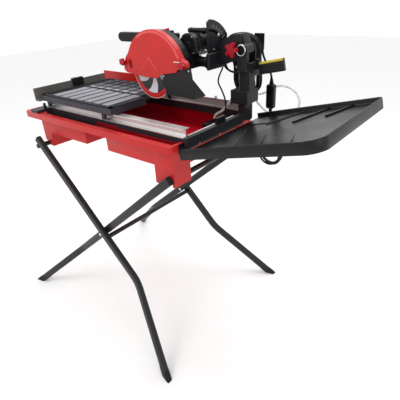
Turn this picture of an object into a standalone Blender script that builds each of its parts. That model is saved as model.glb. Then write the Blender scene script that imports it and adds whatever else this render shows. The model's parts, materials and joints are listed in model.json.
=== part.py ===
"""A wet tile cutter: a water tub with a sliding cart, a plunging and bevelling saw head, and a folding X stand.

Units are metres. The pieces are laid out from the middle of the tub, with +X along the rails towards the
side tray, +Y to the back of the saw and +Z up. main() then moves everything along X, so that the origin is
on the floor under the middle of the whole saw.
"""

import math

import bmesh
import bpy
from mathutils import Matrix, Vector

# ---------------------------------------------------------------- driving dimensions

GAP = 0.0003  # what two touching pieces keep between them

# stand: two leg frames that cross at the pivot
TUBE_DEPTH = 0.025  # leg tube, across the stand
TUBE_HEIGHT = 0.035  # leg tube, in the plane of the frame
OUTER_Y = 0.304  # middle of the outer legs
INNER_Y = 0.275  # middle of the inner legs
PIVOT = (0.023, 0.502)  # X and Z of the stand's pivot
OUTER_TOP = (-0.380, 0.908)
OUTER_BEND = (0.235, 0.300)
OUTER_FOOT = (0.534, 0.000)
INNER_TOP = (0.494, 0.898)
INNER_BEND = (-0.240, 0.289)
INNER_FOOT = (-0.565, 0.000)
FOOT_SPLAY = 0.148  # how far each foot stands outside its leg
FOOT_HEIGHT = 0.030
CROSSBAR_RADIUS = 0.0115

# tub
TUB_LEFT, TUB_RIGHT = -0.505, 0.505
TUB_HALF_DEPTH = 0.273
TUB_TOP = 1.027
RIM_DROP = 0.029
WALL_Y = 0.250  # outer face of the long walls
BASIN_LEFT, BASIN_RIGHT = -0.406, 0.495
BASIN_BOTTOM = 0.930
FOOT_BOTTOM = 0.861
WALL = 0.005

# rails and chassis
RAIL_Y = -0.180
RAIL_TOP = 1.074
FAR_RAIL_Y = 0.225
BEAM_TOP = 1.040
BEAM_BOTTOM = 1.006
TRACK_TOP = 1.0443  # what the cart's rollers run on

# cart
CART_LEFT, CART_RIGHT = -0.400, 0.133
CART_FRONT, CART_BACK = -0.223, 0.200
CART_TOP = 1.110
CART_BOTTOM = 1.079
SLOT_HALF = 0.006  # half the blade slot's width
NOTCH_X = 0.070  # the back of the deck ends here, clear of the bevelled blade
ROLLER_RADIUS = 0.0115
ROLLER_X = (-0.370, 0.058)
ROLLER_Z = TRACK_TOP + ROLLER_RADIUS + GAP
MAT_BOTTOM = 1.1055
SLATS = 7
SLAT_START = -0.330
SLAT_PITCH = 0.062
SLAT_WIDTH = 0.046

# head
ARM_PIVOT = Vector((0.528, 0.175, 1.301))
BEVEL_AXIS = Vector((0.400, 0.100, 1.257))
BLADE_CENTRE = Vector((0.170, 0.000, 1.2215))
BLADE_RADIUS = 0.1145
GUARD_CENTRE = (0.214, 1.228)
GUARD_RADIUS = 0.162
MOTOR_CENTRE = (0.325, 1.3225)
GUARD_HALF = 0.033  # half the guard's width
GUARD_SPLIT = -0.008  # the red half of the guard ends here, and the black half behind it starts
EAR_INSIDE = 0.1663  # the post's front ear ends here and the arm's hub starts
ARM_KNOB = (0.490, 1.302)
QUADRANT_X = (0.396, 0.404)
QUADRANT_RADIUS = 0.158
SLOT_RADIUS = 0.118
KNOB_ANGLE = 41.6  # where the bevel knob sits in the quadrant's slot with the blade upright

# rip rule, stored on the post
RULE_START = Vector((0.5475, 0.2265, 1.235))
RULE_SLOPE = math.radians(12)

# side tray: it climbs away from the tub
TRAY_START = Vector((0.5055, 0.0, 1.011))
TRAY_SLOPE = math.radians(14.4)
TRAY_LENGTH = 0.552
TRAY_FRONT, TRAY_BACK = -0.242, 0.298
TRAY_RIM = 0.040
TRAY_DEPTH = 0.020  # from the rim down to the floor

# power cord and water hose
CORD_RADIUS = 0.0045
HOSE_RADIUS = 0.0055


# ---------------------------------------------------------------- materials


def paint(name, colour, roughness, metallic=0.0):
    material = bpy.data.materials.new(name)
    material.use_nodes = True
    shader = material.node_tree.nodes["Principled BSDF"]
    shader.inputs["Base Color"].default_value = (*colour, 1.0)
    shader.inputs["Roughness"].default_value = roughness
    shader.inputs["Metallic"].default_value = metallic
    material.diffuse_color = (*colour, 1.0)
    return material


def all_materials():
    return {
        "red_plastic": paint("red_plastic", (0.60, 0.030, 0.022), 0.38),
        "red_paint": paint("red_paint", (0.62, 0.036, 0.026), 0.32),
        "black_plastic": paint("black_plastic", (0.020, 0.020, 0.022), 0.45),
        "leg_paint": paint("leg_paint", (0.048, 0.048, 0.052), 0.42),
        "cart_paint": paint("cart_paint", (0.060, 0.058, 0.072), 0.40),
        "mat_rubber": paint("mat_rubber", (0.34, 0.34, 0.37), 0.60),
        "aluminium": paint("aluminium", (0.80, 0.80, 0.80), 0.28, 1.0),
        "steel": paint("steel", (0.62, 0.61, 0.60), 0.30, 1.0),
        "blade_core": paint("blade_core", (0.60, 0.040, 0.030), 0.35),
        "cord_rubber": paint("cord_rubber", (0.012, 0.012, 0.013), 0.55),
        "hose_clear": paint("hose_clear", (0.75, 0.77, 0.76), 0.20),
    }


# ---------------------------------------------------------------- modelling helpers


def keep(name, mesh_maker, material, smooth=None):
    """Makes an object from a filled bmesh, with its faces pointing out."""
    mesh = bpy.data.meshes.new(name)
    shape = bmesh.new()
    mesh_maker(shape)
    bmesh.ops.recalc_face_normals(shape, faces=shape.faces)
    shape.to_mesh(mesh)
    shape.free()
    made = bpy.data.objects.new(name, mesh)
    bpy.context.scene.collection.objects.link(made)
    mesh.materials.append(material)
    if smooth is not None:
        mesh.shade_smooth()
        mesh.set_sharp_from_angle(angle=smooth)
    return made


def add_rings(shape, rings):
    """Skins a list of equal rings of points and closes both ends."""
    made = [[shape.verts.new(point) for point in ring] for ring in rings]
    count = len(made[0])
    for low, high in zip(made, made[1:]):
        for i in range(count):
            shape.faces.new((low[i], low[(i + 1) % count], high[(i + 1) % count], high[i]))
    shape.faces.new(reversed(made[0]))
    shape.faces.new(made[-1])


def block(name, low, high, material, bevel=0.0):
    """A box from its lowest to its highest corner, with its long edges eased."""

    def fill(shape):
        corners = [(low[0], low[1]), (high[0], low[1]), (high[0], high[1]), (low[0], high[1])]
        add_rings(shape, [[(x, y, z) for x, y in corners] for z in (low[2], high[2])])
        if bevel:
            bmesh.ops.bevel(shape, geom=shape.edges[:], offset=bevel, segments=1, affect="EDGES")

    return keep(name, fill, material)


def extrusion(name, outline, axis, start, end, material, bevel=0.0):
    """A flat outline pushed along an axis. The outline's numbers are the other two coordinates, in order."""

    def place(a, b, along):
        return {"X": (along, a, b), "Y": (a, along, b), "Z": (a, b, along)}[axis]

    def fill(shape):
        add_rings(shape, [[place(a, b, along) for a, b in outline] for along in (start, end)])
        if bevel:
            bmesh.ops.bevel(shape, geom=shape.edges[:], offset=bevel, segments=1, affect="EDGES")

    return keep(name, fill, material)


def turned(name, profile, centre, axis, material, steps=24):
    """A solid turned about an axis. The profile lists (radius, distance along the axis) from end to end."""

    def place(radius, along, angle):
        a, b = radius * math.cos(angle), radius * math.sin(angle)
        x, y, z = {"X": (along, a, b), "Y": (a, along, b), "Z": (a, b, along)}[axis]
        return (centre[0] + x, centre[1] + y, centre[2] + z)

    def fill(shape):
        angles = [2 * math.pi * i / steps for i in range(steps)]
        add_rings(shape, [[place(r, s, angle) for angle in angles] for r, s in profile])

    return keep(name, fill, material, smooth=math.radians(35))


def washer(name, inner, outer, start, end, centre, axis, material, steps=24):
    """A ring with a square section about an axis."""

    def place(radius, along, angle):
        a, b = radius * math.cos(angle), radius * math.sin(angle)
        x, y, z = {"X": (along, a, b), "Y": (a, along, b), "Z": (a, b, along)}[axis]
        return (centre[0] + x, centre[1] + y, centre[2] + z)

    def fill(shape):
        section = [(inner, start), (outer, start), (outer, end), (inner, end)]
        rings = []
        for i in range(steps):
            angle = 2 * math.pi * i / steps
            rings.append([shape.verts.new(place(r, s, angle)) for r, s in section])
        for i in range(steps):
            here, there = rings[i], rings[(i + 1) % steps]
            for k in range(4):
                shape.faces.new((here[k], here[(k + 1) % 4], there[(k + 1) % 4], there[k]))

    return keep(name, fill, material, smooth=math.radians(35))


def cutter(tool):
    """Marks an object as a Boolean tool, which isn't part of the saw."""
    tool.hide_render = True
    tool.display_type = "WIRE"
    return tool


def combine(target, tool, operation):
    modifier = target.modifiers.new(operation.lower(), "BOOLEAN")
    modifier.operation = operation
    modifier.solver = "EXACT"
    modifier.object = cutter(tool)
    return target


def cut(target, *tools):
    for tool in tools:
        combine(target, tool, "DIFFERENCE")
    return target


def weld(target, *tools):
    for tool in tools:
        combine(target, tool, "UNION")
    return target


def arc(centre, radius, start, end, steps):
    """Points on an arc, from the start angle to the end angle in degrees."""
    angles = [math.radians(start + (end - start) * i / steps) for i in range(steps + 1)]
    return [(centre[0] + radius * math.cos(a), centre[1] + radius * math.sin(a)) for a in angles]


def rounded_box_outline(a_low, a_high, b_low, b_high, radius, steps=3):
    return (
        arc((a_high - radius, b_low + radius), radius, -90, 0, steps)
        + arc((a_high - radius, b_high - radius), radius, 0, 90, steps)
        + arc((a_low + radius, b_high - radius), radius, 90, 180, steps)
        + arc((a_low + radius, b_low + radius), radius, 180, 270, steps)
    )


def smooth_route(points, spacing):
    """Points at an even spacing along a Catmull-Rom curve through the given points."""
    points = [Vector(p) for p in points]
    padded = [2 * points[0] - points[1], *points, 2 * points[-1] - points[-2]]
    fine = []
    for a, b, c, d in zip(padded, padded[1:], padded[2:], padded[3:]):
        for i in range(24):
            t = i / 24
            fine.append(
                0.5
                * (
                    2 * b
                    + (c - a) * t
                    + (2 * a - 5 * b + 4 * c - d) * t**2
                    + (3 * b - a - 3 * c + d) * t**3
                )
            )
    fine.append(points[-1])
    along = [0.0]
    for here, there in zip(fine, fine[1:]):
        along.append(along[-1] + (there - here).length)
    count = max(3, round(along[-1] / spacing))
    route, k = [], 0
    for i in range(count + 1):
        want = along[-1] * i / count
        while k < len(along) - 2 and along[k + 1] < want:
            k += 1
        share = (want - along[k]) / max(along[k + 1] - along[k], 1e-9)
        route.append(fine[k].lerp(fine[k + 1], share))
    return route


def hose_along(name, points, radius, material, resolution=2, spacing=2.6):
    """A round tube along a smooth route through the points."""
    route = smooth_route(points, spacing * 2 * radius)
    curve = bpy.data.curves.new(name, "CURVE")
    curve.dimensions = "3D"
    spline = curve.splines.new("POLY")
    spline.points.add(len(route) - 1)
    for place, point in zip(route, spline.points):
        point.co = (*place, 1.0)
    curve.bevel_depth = radius
    curve.bevel_resolution = resolution
    curve.use_fill_caps = True
    curve.materials.append(material)
    made = bpy.data.objects.new(name, curve)
    bpy.context.scene.collection.objects.link(made)
    return made


# ---------------------------------------------------------------- stand


def tube_section():
    """The leg tube's outline as offsets (in the frame's plane, across the stand)."""
    half_height, half_depth = TUBE_HEIGHT / 2, TUBE_DEPTH / 2
    return rounded_box_outline(-half_height, half_height, -half_depth, half_depth, 0.005, 2)


def leg_rings(centres, last_z):
    """Carries the tube's outline down the leg: a square cut on top, mitred bends, and a level cut at the foot."""
    centres = [Vector(c) for c in centres]
    directions = [(b - a).normalized() for a, b in zip(centres, centres[1:])]
    across = Vector((0, 1, 0))
    upward = directions[0].cross(across).normalized()
    ring = [centres[0] + upward * a + across * b for a, b in tube_section()]
    rings = [ring]
    for k, direction in enumerate(directions):
        last = k == len(directions) - 1
        plane = Vector((0, 0, 1)) if last else (direction + directions[k + 1]).normalized()
        stop = Vector((0, 0, last_z)) if last else centres[k + 1]
        ring = [p + direction * ((stop - p).dot(plane) / direction.dot(plane)) for p in ring]
        rings.append(ring)
    return rings


def leg_centres(top, bend, foot, side_y):
    """The leg's middle line: straight to the bend, round it in short steps, and out to the splayed foot."""
    side = math.copysign(1, side_y)
    start = Vector((top[0], side_y, top[1]))
    corner = Vector((bend[0], side_y, bend[1]))
    end = Vector((foot[0], side_y + side * FOOT_SPLAY, foot[1]))
    into, out_of = (corner - start).normalized(), (end - corner).normalized()
    ease = 0.035
    near, far = corner - into * ease, corner + out_of * ease
    bent = [(1 - t) ** 2 * near + 2 * t * (1 - t) * corner + t**2 * far for t in (0.0, 0.33, 0.67, 1.0)]
    return [start, *bent, end]


def leg(name, centres, material):
    rings = leg_rings(centres, FOOT_HEIGHT)
    made = keep(name, lambda shape: add_rings(shape, rings), material, smooth=math.radians(40))
    hole = turned(
        name + "_hole",
        [(0.0054, -0.03), (0.0054, 0.03)],
        (PIVOT[0], centres[0].y, PIVOT[1]),
        "Y",
        material,
        steps=16,
    )
    return cut(made, hole)


def foot_cap(name, centres, material):
    """A plastic foot that carries the tube's own outline down to the floor."""
    ring = leg_rings(centres, FOOT_HEIGHT - GAP)[-1]
    direction = (Vector(centres[-1]) - Vector(centres[-2])).normalized()
    middle = sum(ring, Vector()) / len(ring)
    wide = [middle + (p - middle) * 1.08 for p in ring]
    floor = [p - direction * (p.z / direction.z) for p in wide]
    return keep(name, lambda shape: add_rings(shape, [wide, floor]), material)


def end_cap(name, centres, material):
    """A plastic plug on the leg's upper end, slightly domed."""
    top, nxt = Vector(centres[0]), Vector(centres[1])
    direction = (nxt - top).normalized()
    across = Vector((0, 1, 0))
    upward = direction.cross(across).normalized()

    def ring(scale, back):
        return [top - direction * back + upward * a * scale + across * b * scale for a, b in tube_section()]

    rings = [ring(1.0, GAP), ring(1.0, 0.004), ring(0.78, 0.007)]
    return keep(name, lambda shape: add_rings(shape, rings), material)


def stand(materials):
    black, paint_grey = materials["black_plastic"], materials["leg_paint"]
    frames = {
        "outer": (OUTER_TOP, OUTER_BEND, OUTER_FOOT, OUTER_Y),
        "inner": (INNER_TOP, INNER_BEND, INNER_FOOT, INNER_Y),
    }
    for frame, (top, bend, foot, y) in frames.items():
        for side, sign in (("front", -1), ("rear", 1)):
            centres = leg_centres(top, bend, foot, sign * y)
            leg(f"{frame}_leg_{side}", centres, paint_grey)
            foot_cap(f"{frame}_foot_{side}", centres, black)
            if frame == "outer":
                end_cap(f"{frame}_cap_{side}", centres, black)
    reaches = {
        "outer_top_crossbar": OUTER_Y + TUBE_DEPTH / 2,
        "inner_top_crossbar": INNER_Y - TUBE_DEPTH / 2 - GAP,
        "inner_pivot_crossbar": INNER_Y + TUBE_DEPTH / 2,
    }
    for name, (x, z) in crossbar_places().items():
        ends = [(CROSSBAR_RADIUS, -reaches[name]), (CROSSBAR_RADIUS, reaches[name])]
        turned(name, ends, (x, 0, z), "Y", paint_grey, steps=16)
    for side, sign in (("front", -1), ("rear", 1)):
        outside = OUTER_Y + TUBE_DEPTH / 2 + GAP
        inside = INNER_Y - TUBE_DEPTH / 2 - GAP
        profile = [
            (0.0090, sign * (outside + 0.006)),
            (0.0090, sign * outside),
            (0.0050, sign * outside),
            (0.0050, sign * inside),
            (0.0085, sign * inside),
            (0.0085, sign * (inside - 0.006)),
        ]
        turned(f"pivot_bolt_{side}", profile, (PIVOT[0], 0, PIVOT[1]), "Y", materials["steel"], steps=16)


def crossbar_places():
    """X and Z of the crossbars: one under the outer legs, one between the inner legs, one under the pivot."""
    places = {}
    under = TUBE_HEIGHT / 2 + CROSSBAR_RADIUS + GAP
    outer = Vector((PIVOT[0] - OUTER_TOP[0], PIVOT[1] - OUTER_TOP[1])).normalized()
    inner = Vector((PIVOT[0] - INNER_TOP[0], PIVOT[1] - INNER_TOP[1])).normalized()
    places["outer_top_crossbar"] = (
        OUTER_TOP[0] + outer.x * 0.022 + outer.y * under,
        OUTER_TOP[1] + outer.y * 0.022 - outer.x * under,
    )
    places["inner_top_crossbar"] = (INNER_TOP[0] + inner.x * 0.030, INNER_TOP[1] + inner.y * 0.030)
    places["inner_pivot_crossbar"] = (PIVOT[0] - inner.y * under, PIVOT[1] + inner.x * under)
    return places


# ---------------------------------------------------------------- tub


def mirrored_blocks(name, low, high, material, bevel=0.0):
    """A box and its mirror image across the middle of the tub."""
    front = block(name + "_front", low, high, material, bevel)
    rear = block(name + "_rear", (low[0], -high[1], low[2]), (high[0], -low[1], high[2]), material, bevel)
    return front, rear


def tub(materials):
    red, black = materials["red_plastic"], materials["black_plastic"]
    half = TUB_HALF_DEPTH
    rim_bottom = TUB_TOP - RIM_DROP
    rim = rounded_box_outline(TUB_LEFT, TUB_RIGHT, -half, half, 0.016)
    made = extrusion("tub", rim, "Z", rim_bottom, TUB_TOP, red)
    weld(made, block("tub_body", (BASIN_LEFT, -WALL_Y, BASIN_BOTTOM), (BASIN_RIGHT, WALL_Y, 1.0), red))
    weld(made, *mirrored_blocks("tub_left_foot", (BASIN_LEFT, -WALL_Y, FOOT_BOTTOM), (-0.343, -0.120, 0.94), red))
    weld(made, *mirrored_blocks("tub_right_foot", (0.402, -0.260, FOOT_BOTTOM), (0.503, -0.165, 1.0), red))
    inner_y = WALL_Y - WALL
    cut(
        made,
        block(
            "tub_inside",
            (BASIN_LEFT + WALL, -inner_y, BASIN_BOTTOM + WALL),
            (BASIN_RIGHT - WALL, inner_y, TUB_TOP + 0.01),
            red,
        ),
        block("tub_ledge", (TUB_LEFT + WALL, -inner_y, 1.003), (BASIN_LEFT + 0.02, inner_y, TUB_TOP + 0.01), red),
    )
    # the hand hold in the front wall stands up inside as a hump
    weld(made, block("tub_hump", (-0.048, -WALL_Y + 0.001, BASIN_BOTTOM + 0.001), (0.113, -0.095, 0.990), red))
    cut(made, block("tub_hand_hold", (-0.043, -WALL_Y - 0.01, 0.92), (0.108, -0.100, 0.985), red))
    # the feet are notched over the stand's top crossbars
    left, right = crossbar_places()["outer_top_crossbar"], crossbar_places()["inner_top_crossbar"]
    clear = CROSSBAR_RADIUS + GAP
    cut(made, block("tub_left_notch", (-0.42, -0.27, 0.85), (left[0] + clear, 0.27, left[1] + clear), red))
    roof = right[1] + clear
    notch = [(0.427, 0.855), (0.491, 0.855), (0.491, roof), (right[0] - 0.003, roof), (0.4615, roof - 0.0025)]
    cut(made, extrusion("tub_right_notch", notch, "Y", -0.27, 0.27, red))
    # the chassis beams drop into the right rim
    for name, (low, high) in beam_sides().items():
        lower = (0.480, low - 0.0005, BEAM_BOTTOM - GAP)
        cut(made, block(f"tub_{name}_notch", lower, (0.52, high + 0.0005, TUB_TOP + 0.01), red))
    drain = (-0.300, 0.0, 0.957)
    cut(made, turned("tub_drain_hole", [(0.0123, 0.2), (0.0123, 0.3)], drain, "Y", red, steps=20))
    plug = [
        (0.010, inner_y - 0.006),
        (0.012, inner_y - 0.002),
        (0.012, WALL_Y + GAP),
        (0.018, WALL_Y + GAP),
        (0.018, WALL_Y + 0.005),
        (0.007, WALL_Y + 0.005),
        (0.008, WALL_Y + 0.016),
    ]
    turned("drain_plug", plug, drain, "Y", black, steps=20)
    splash = [(-0.504, 1.030), (-0.080, 1.030), (-0.080, 1.092), (-0.135, 1.137), (-0.504, 1.137)]
    extrusion("splash_wall", splash, "Y", 0.247, 0.2525, red)


def beam_sides():
    """The two long chassis beams, front and rear: where each starts and ends across the saw."""
    return {"front_beam": (-0.197, -0.172), "rear_beam": (0.205, 0.235)}


# ---------------------------------------------------------------- chassis, rails and post


def chassis(materials):
    grey, black, dark = materials["aluminium"], materials["black_plastic"], materials["leg_paint"]
    sides = beam_sides()
    (y0, y1), (y2, y3) = sides["front_beam"], sides["rear_beam"]
    made = block("chassis", (-0.440, y0, BEAM_BOTTOM), (0.5262, y1, BEAM_TOP), dark)
    weld(made, block("chassis_rear_beam", (-0.440, y2, BEAM_BOTTOM), (0.5262, y3, BEAM_TOP), dark))
    weld(made, block("chassis_left_bar", (-0.441, -TUB_HALF_DEPTH, TUB_TOP + GAP), (-0.385, 0.2460, BEAM_TOP), dark))
    weld(made, block("chassis_right_bar", (0.5065, y0 - 0.003, 1.012), (0.526, y3 + 0.001, 1.044), dark))
    near = [
        (RAIL_Y - 0.020, BEAM_TOP + GAP),
        (RAIL_Y + 0.002, BEAM_TOP + GAP),
        (RAIL_Y + 0.002, RAIL_TOP - 0.004),
        (RAIL_Y + 0.018, RAIL_TOP - 0.004),
        (RAIL_Y + 0.018, RAIL_TOP),
        (RAIL_Y - 0.016, RAIL_TOP),
        (RAIL_Y - 0.016, RAIL_TOP - 0.004),
        (RAIL_Y - 0.002, RAIL_TOP - 0.004),
        (RAIL_Y - 0.002, TRACK_TOP),
        (RAIL_Y - 0.020, TRACK_TOP),
    ]
    extrusion("near_rail", near, "X", -0.436, 0.505, grey)
    far = [
        (FAR_RAIL_Y - 0.020, BEAM_TOP + GAP),
        (FAR_RAIL_Y + 0.002, BEAM_TOP + GAP),
        (FAR_RAIL_Y + 0.002, RAIL_TOP + 0.001),
        (FAR_RAIL_Y - 0.002, RAIL_TOP + 0.001),
        (FAR_RAIL_Y - 0.002, TRACK_TOP),
        (FAR_RAIL_Y - 0.020, TRACK_TOP),
    ]
    extrusion("far_rail", far, "X", -0.436, 0.494, grey)
    block("cart_stop", (0.507, -0.010, 1.044 + GAP), (0.523, 0.046, 1.070), black, 0.002)


def post(materials):
    """The post that the arm swings on. Its two ears hold the arm's hub, and a socket behind holds the rip rule."""
    black = materials["black_plastic"]
    x, _, z = ARM_PIVOT
    made = block("post", (0.505, 0.165, 1.10), (0.553, 0.2150, 1.252), black, 0.003)
    weld(made, block("post_base", (0.470, 0.150, 1.087), (0.5535, 0.240, 1.143), black, 0.003))
    weld(made, block("post_stem", (0.4955, 0.172, 1.0445), (0.526, 0.236, 1.095), black))
    weld(made, block("post_socket", (0.532, 0.2130, 1.195), (0.5525, 0.2425, 1.262), black))
    for name, (low, high) in {"front": (0.150, 0.1660), "rear": (0.2125, 0.2185)}.items():
        ear = arc((x, z), 0.024, -5, 185, 12) + [(x - 0.024, 1.22), (x + 0.024, 1.22)]
        weld(made, extrusion(f"post_ear_{name}", ear, "Y", low, high, black))
    cut(made, rule_body("post_rule_hole", 0.0005, black))
    weld(made, turned("hinge_ring", [(0.0200, 0.1440), (0.0220, 0.1455), (0.0220, 0.152)], (x, 0, z), "Y", black, 28))
    made = block("cord_hook", (0.505, 0.2188, 1.2880), (0.5250, 0.284, 1.2980), black)
    weld(made, block("cord_hook_lip", (0.505, 0.2775, 1.2880), (0.550, 0.284, 1.3500), black))


def rule_body(name, grow, material):
    """The rip rule's bar. It climbs away from the post; grow makes it bigger on every side for its socket."""
    low, high = -0.075 - grow, 0.137 + grow
    half = 0.017 + grow
    along = Vector((math.cos(RULE_SLOPE), 0, math.sin(RULE_SLOPE)))
    up = Vector((-along.z, 0, along.x))
    corners = [(low, -half), (high, -half), (high, half), (low, half)]
    outline = [(RULE_START + along * a + up * b) for a, b in corners]
    flat = [(p.x, p.z) for p in outline]
    return extrusion(name, flat, "Y", RULE_START.y - 0.008 - grow, RULE_START.y + 0.008 + grow, material)


# ---------------------------------------------------------------- side tray


def tray(materials):
    """A shallow pan with raised sides, built flat and then tilted about its inner end."""
    black = materials["black_plastic"]
    tilt = Matrix.Translation(TRAY_START) @ Matrix.Rotation(-TRAY_SLOPE, 4, "Y")

    def slab(name, inset, low, high, start):
        front, back, far = TRAY_FRONT + inset, TRAY_BACK - inset, TRAY_LENGTH - inset
        near, remote = 0.060 - inset, 0.020 - inset
        outline = [(start, front)]
        outline += arc((far - near, front + near), near, -90, 0, 6)
        outline += arc((far - remote, back - remote), remote, 0, 90, 4)
        outline += [(start, back)]

        def fill(shape):
            add_rings(shape, [[tilt @ Vector((x, y, z)) for x, y in outline] for z in (low, high)])

        return keep(name, fill, black)

    made = slab("extension_tray", 0.0, -TRAY_RIM, 0.0, 0.012)
    cut(made, slab("tray_inside", 0.006, -TRAY_DEPTH, 0.02, -0.02))
    return cut(made, slab("tray_under", 0.005, -TRAY_RIM - 0.02, -TRAY_DEPTH - 0.004, 0.017))


# ---------------------------------------------------------------- cart


def cart(materials):
    dark, pad, light = materials["cart_paint"], materials["mat_rubber"], materials["aluminium"]
    black, steel = materials["black_plastic"], materials["steel"]
    deck = [
        (CART_LEFT, CART_FRONT),
        (CART_RIGHT, CART_FRONT),
        (CART_RIGHT, -0.020),
        (NOTCH_X, -0.020),
        (NOTCH_X, CART_BACK),
        (CART_LEFT, CART_BACK),
    ]
    made = extrusion("cart_frame", deck, "Z", CART_BOTTOM, MAT_BOTTOM, dark)
    front_pocket = block(
        "cart_pocket_front",
        (CART_LEFT + 0.006, CART_FRONT + 0.006, CART_BOTTOM - 0.01),
        (CART_RIGHT - 0.006, -0.026, MAT_BOTTOM - 0.005),
        dark,
    )
    rear_pocket = block(
        "cart_pocket_rear",
        (CART_LEFT + 0.006, -0.014, CART_BOTTOM - 0.01),
        (NOTCH_X - 0.006, CART_BACK - 0.006, MAT_BOTTOM - 0.005),
        dark,
    )
    cut(made, front_pocket, rear_pocket)
    slot = block("cart_slot", (-0.270, -SLOT_HALF, 1.05), (0.150, SLOT_HALF, 1.15), dark)
    cut(made, slot)
    for x in ROLLER_X:
        for name, skirt, pin in (
            ("near", (-0.2105, -0.2045), (-0.2075, -0.1835)),
            ("far", (0.1990, 0.2050), (0.2020, 0.2222)),
        ):
            tag = f"cart_{name}_{'left' if x < 0 else 'right'}"
            low = (x - 0.010, skirt[0], ROLLER_Z - 0.008)
            weld(made, block(tag + "_bracket", low, (x + 0.010, skirt[1], MAT_BOTTOM - 0.003), dark))
            weld(made, turned(tag + "_pin", [(0.0030, pin[0]), (0.0030, pin[1])], (x, 0, ROLLER_Z), "Y", dark, 12))
            start, end = {"near": (-0.1990, -0.1845), "far": (0.2075, 0.2215)}[name]
            side = "left" if x < 0 else "right"
            washer(
                f"roller_{name}_{side}", 0.0034, ROLLER_RADIUS, start, end, (x, 0, ROLLER_Z), "Y", steel, steps=20
            )
    # the mat: slats across the deck, with the blade slot cut through
    floor = MAT_BOTTOM + 0.0015
    teeth = [(CART_LEFT + 0.004, MAT_BOTTOM + GAP), (CART_RIGHT - 0.004, MAT_BOTTOM + GAP)]
    teeth += [(CART_RIGHT - 0.004, CART_TOP), (CART_RIGHT - 0.022, CART_TOP), (CART_RIGHT - 0.022, floor)]
    for i in reversed(range(SLATS)):
        x = SLAT_START + i * SLAT_PITCH
        teeth += [(x + SLAT_WIDTH, floor), (x + SLAT_WIDTH, CART_TOP), (x, CART_TOP), (x, floor)]
    teeth += [(CART_LEFT + 0.022, floor), (CART_LEFT + 0.022, CART_TOP), (CART_LEFT + 0.004, CART_TOP)]
    mat = extrusion("cart_mat", teeth, "Y", CART_FRONT + 0.004, CART_BACK - 0.004, pad)
    cut(mat, block("mat_notch", (NOTCH_X - 0.003, -0.023, 1.05), (0.20, 0.25, 1.15), pad))
    cut(mat, block("mat_slot", (-0.275, -SLOT_HALF - 0.001, 1.05), (0.150, SLOT_HALF + 0.001, 1.15), pad))

    section = [
        (-0.436, 1.077),
        (CART_LEFT - GAP, 1.077),
        (CART_LEFT - GAP, 1.083),
        (-0.430, 1.083),
        (-0.430, 1.136),
        (-0.436, 1.136),
    ]
    fence = keep(
        "fence",
        lambda shape: add_rings(shape, [[(x, y, z) for x, z in section] for y in (-0.239, 0.195)]),
        light,
    )
    # the stop rides on the fence's upper edge
    clip = [
        (-0.4425, 1.100),
        (-0.4363, 1.100),
        (-0.4363, 1.1363),
        (-0.4297, 1.1363),
        (-0.4297, 1.100),
        (-0.4235, 1.100),
        (-0.4235, 1.160),
        (-0.4425, 1.160),
    ]
    extrusion("fence_stop", clip, "Y", -0.020, 0.050, black)
    grip = [(0.004, -0.4428), (0.004, -0.4450), (0.013, -0.4450), (0.013, -0.4590), (0.010, -0.4610)]
    turned("fence_knob", grip, (0, 0.015, 1.130), "X", black, steps=20)
    lever = rounded_box_outline(-0.3895, -0.3755, 1.0408, 1.0695, 0.005)
    extrusion("cart_latch", lever, "Y", -0.2320, CART_FRONT - GAP, black)
    return fence


# ---------------------------------------------------------------- arm and head


def star_outline(centre, inner, outer, lobes, steps=6):
    points = []
    for i in range(lobes * steps):
        angle = 2 * math.pi * i / (lobes * steps)
        swell = 0.5 + 0.5 * math.cos(lobes * angle)
        radius = inner + (outer - inner) * swell**0.7
        points.append((centre[0] + radius * math.cos(angle), centre[1] + radius * math.sin(angle)))
    return points


def arm(materials):
    red, black = materials["red_paint"], materials["black_plastic"]
    x, _, z = ARM_PIVOT
    hub = arc((x, z), 0.022, -60, 70, 8)
    upper = [(0.517, 1.360), (0.478, 1.356), (0.425, 1.332), (0.4062, 1.318)]
    lower = [(0.4062, 1.228), (0.425, 1.238), (0.500, 1.262)]
    made = extrusion("arm", hub + upper + lower, "Y", EAR_INSIDE, 0.2122, black)
    # the front half stops short of the post's ear
    shoulder = arc((x, z), 0.0245, 100, 180, 6)
    front = [(0.478, 1.356), (0.425, 1.332), (0.4062, 1.318), *lower]
    weld(made, extrusion("arm_front", [(0.517, 1.360), *front, *reversed(shoulder)], "Y", 0.157, 0.190, black))
    weld(made, block("arm_plate", (0.4062, 0.076, 1.228), (0.420, 0.190, 1.292), black, 0.003))
    pin = [(0.0080, 0.3975), (0.0080, 0.4100)]
    weld(made, turned("bevel_pin", pin, (0, BEVEL_AXIS.y, BEVEL_AXIS.z), "X", black, 16))
    quadrant(black)
    x, z = ARM_KNOB
    made = extrusion("plunge_knob", star_outline((x, z), 0.014, 0.030, 5, 6), "Y", 0.1255, 0.1425, red)
    weld(made, turned("plunge_knob_stem", [(0.009, 0.140), (0.009, 0.157 - GAP)], (x, 0, z), "Y", red, 20))


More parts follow.
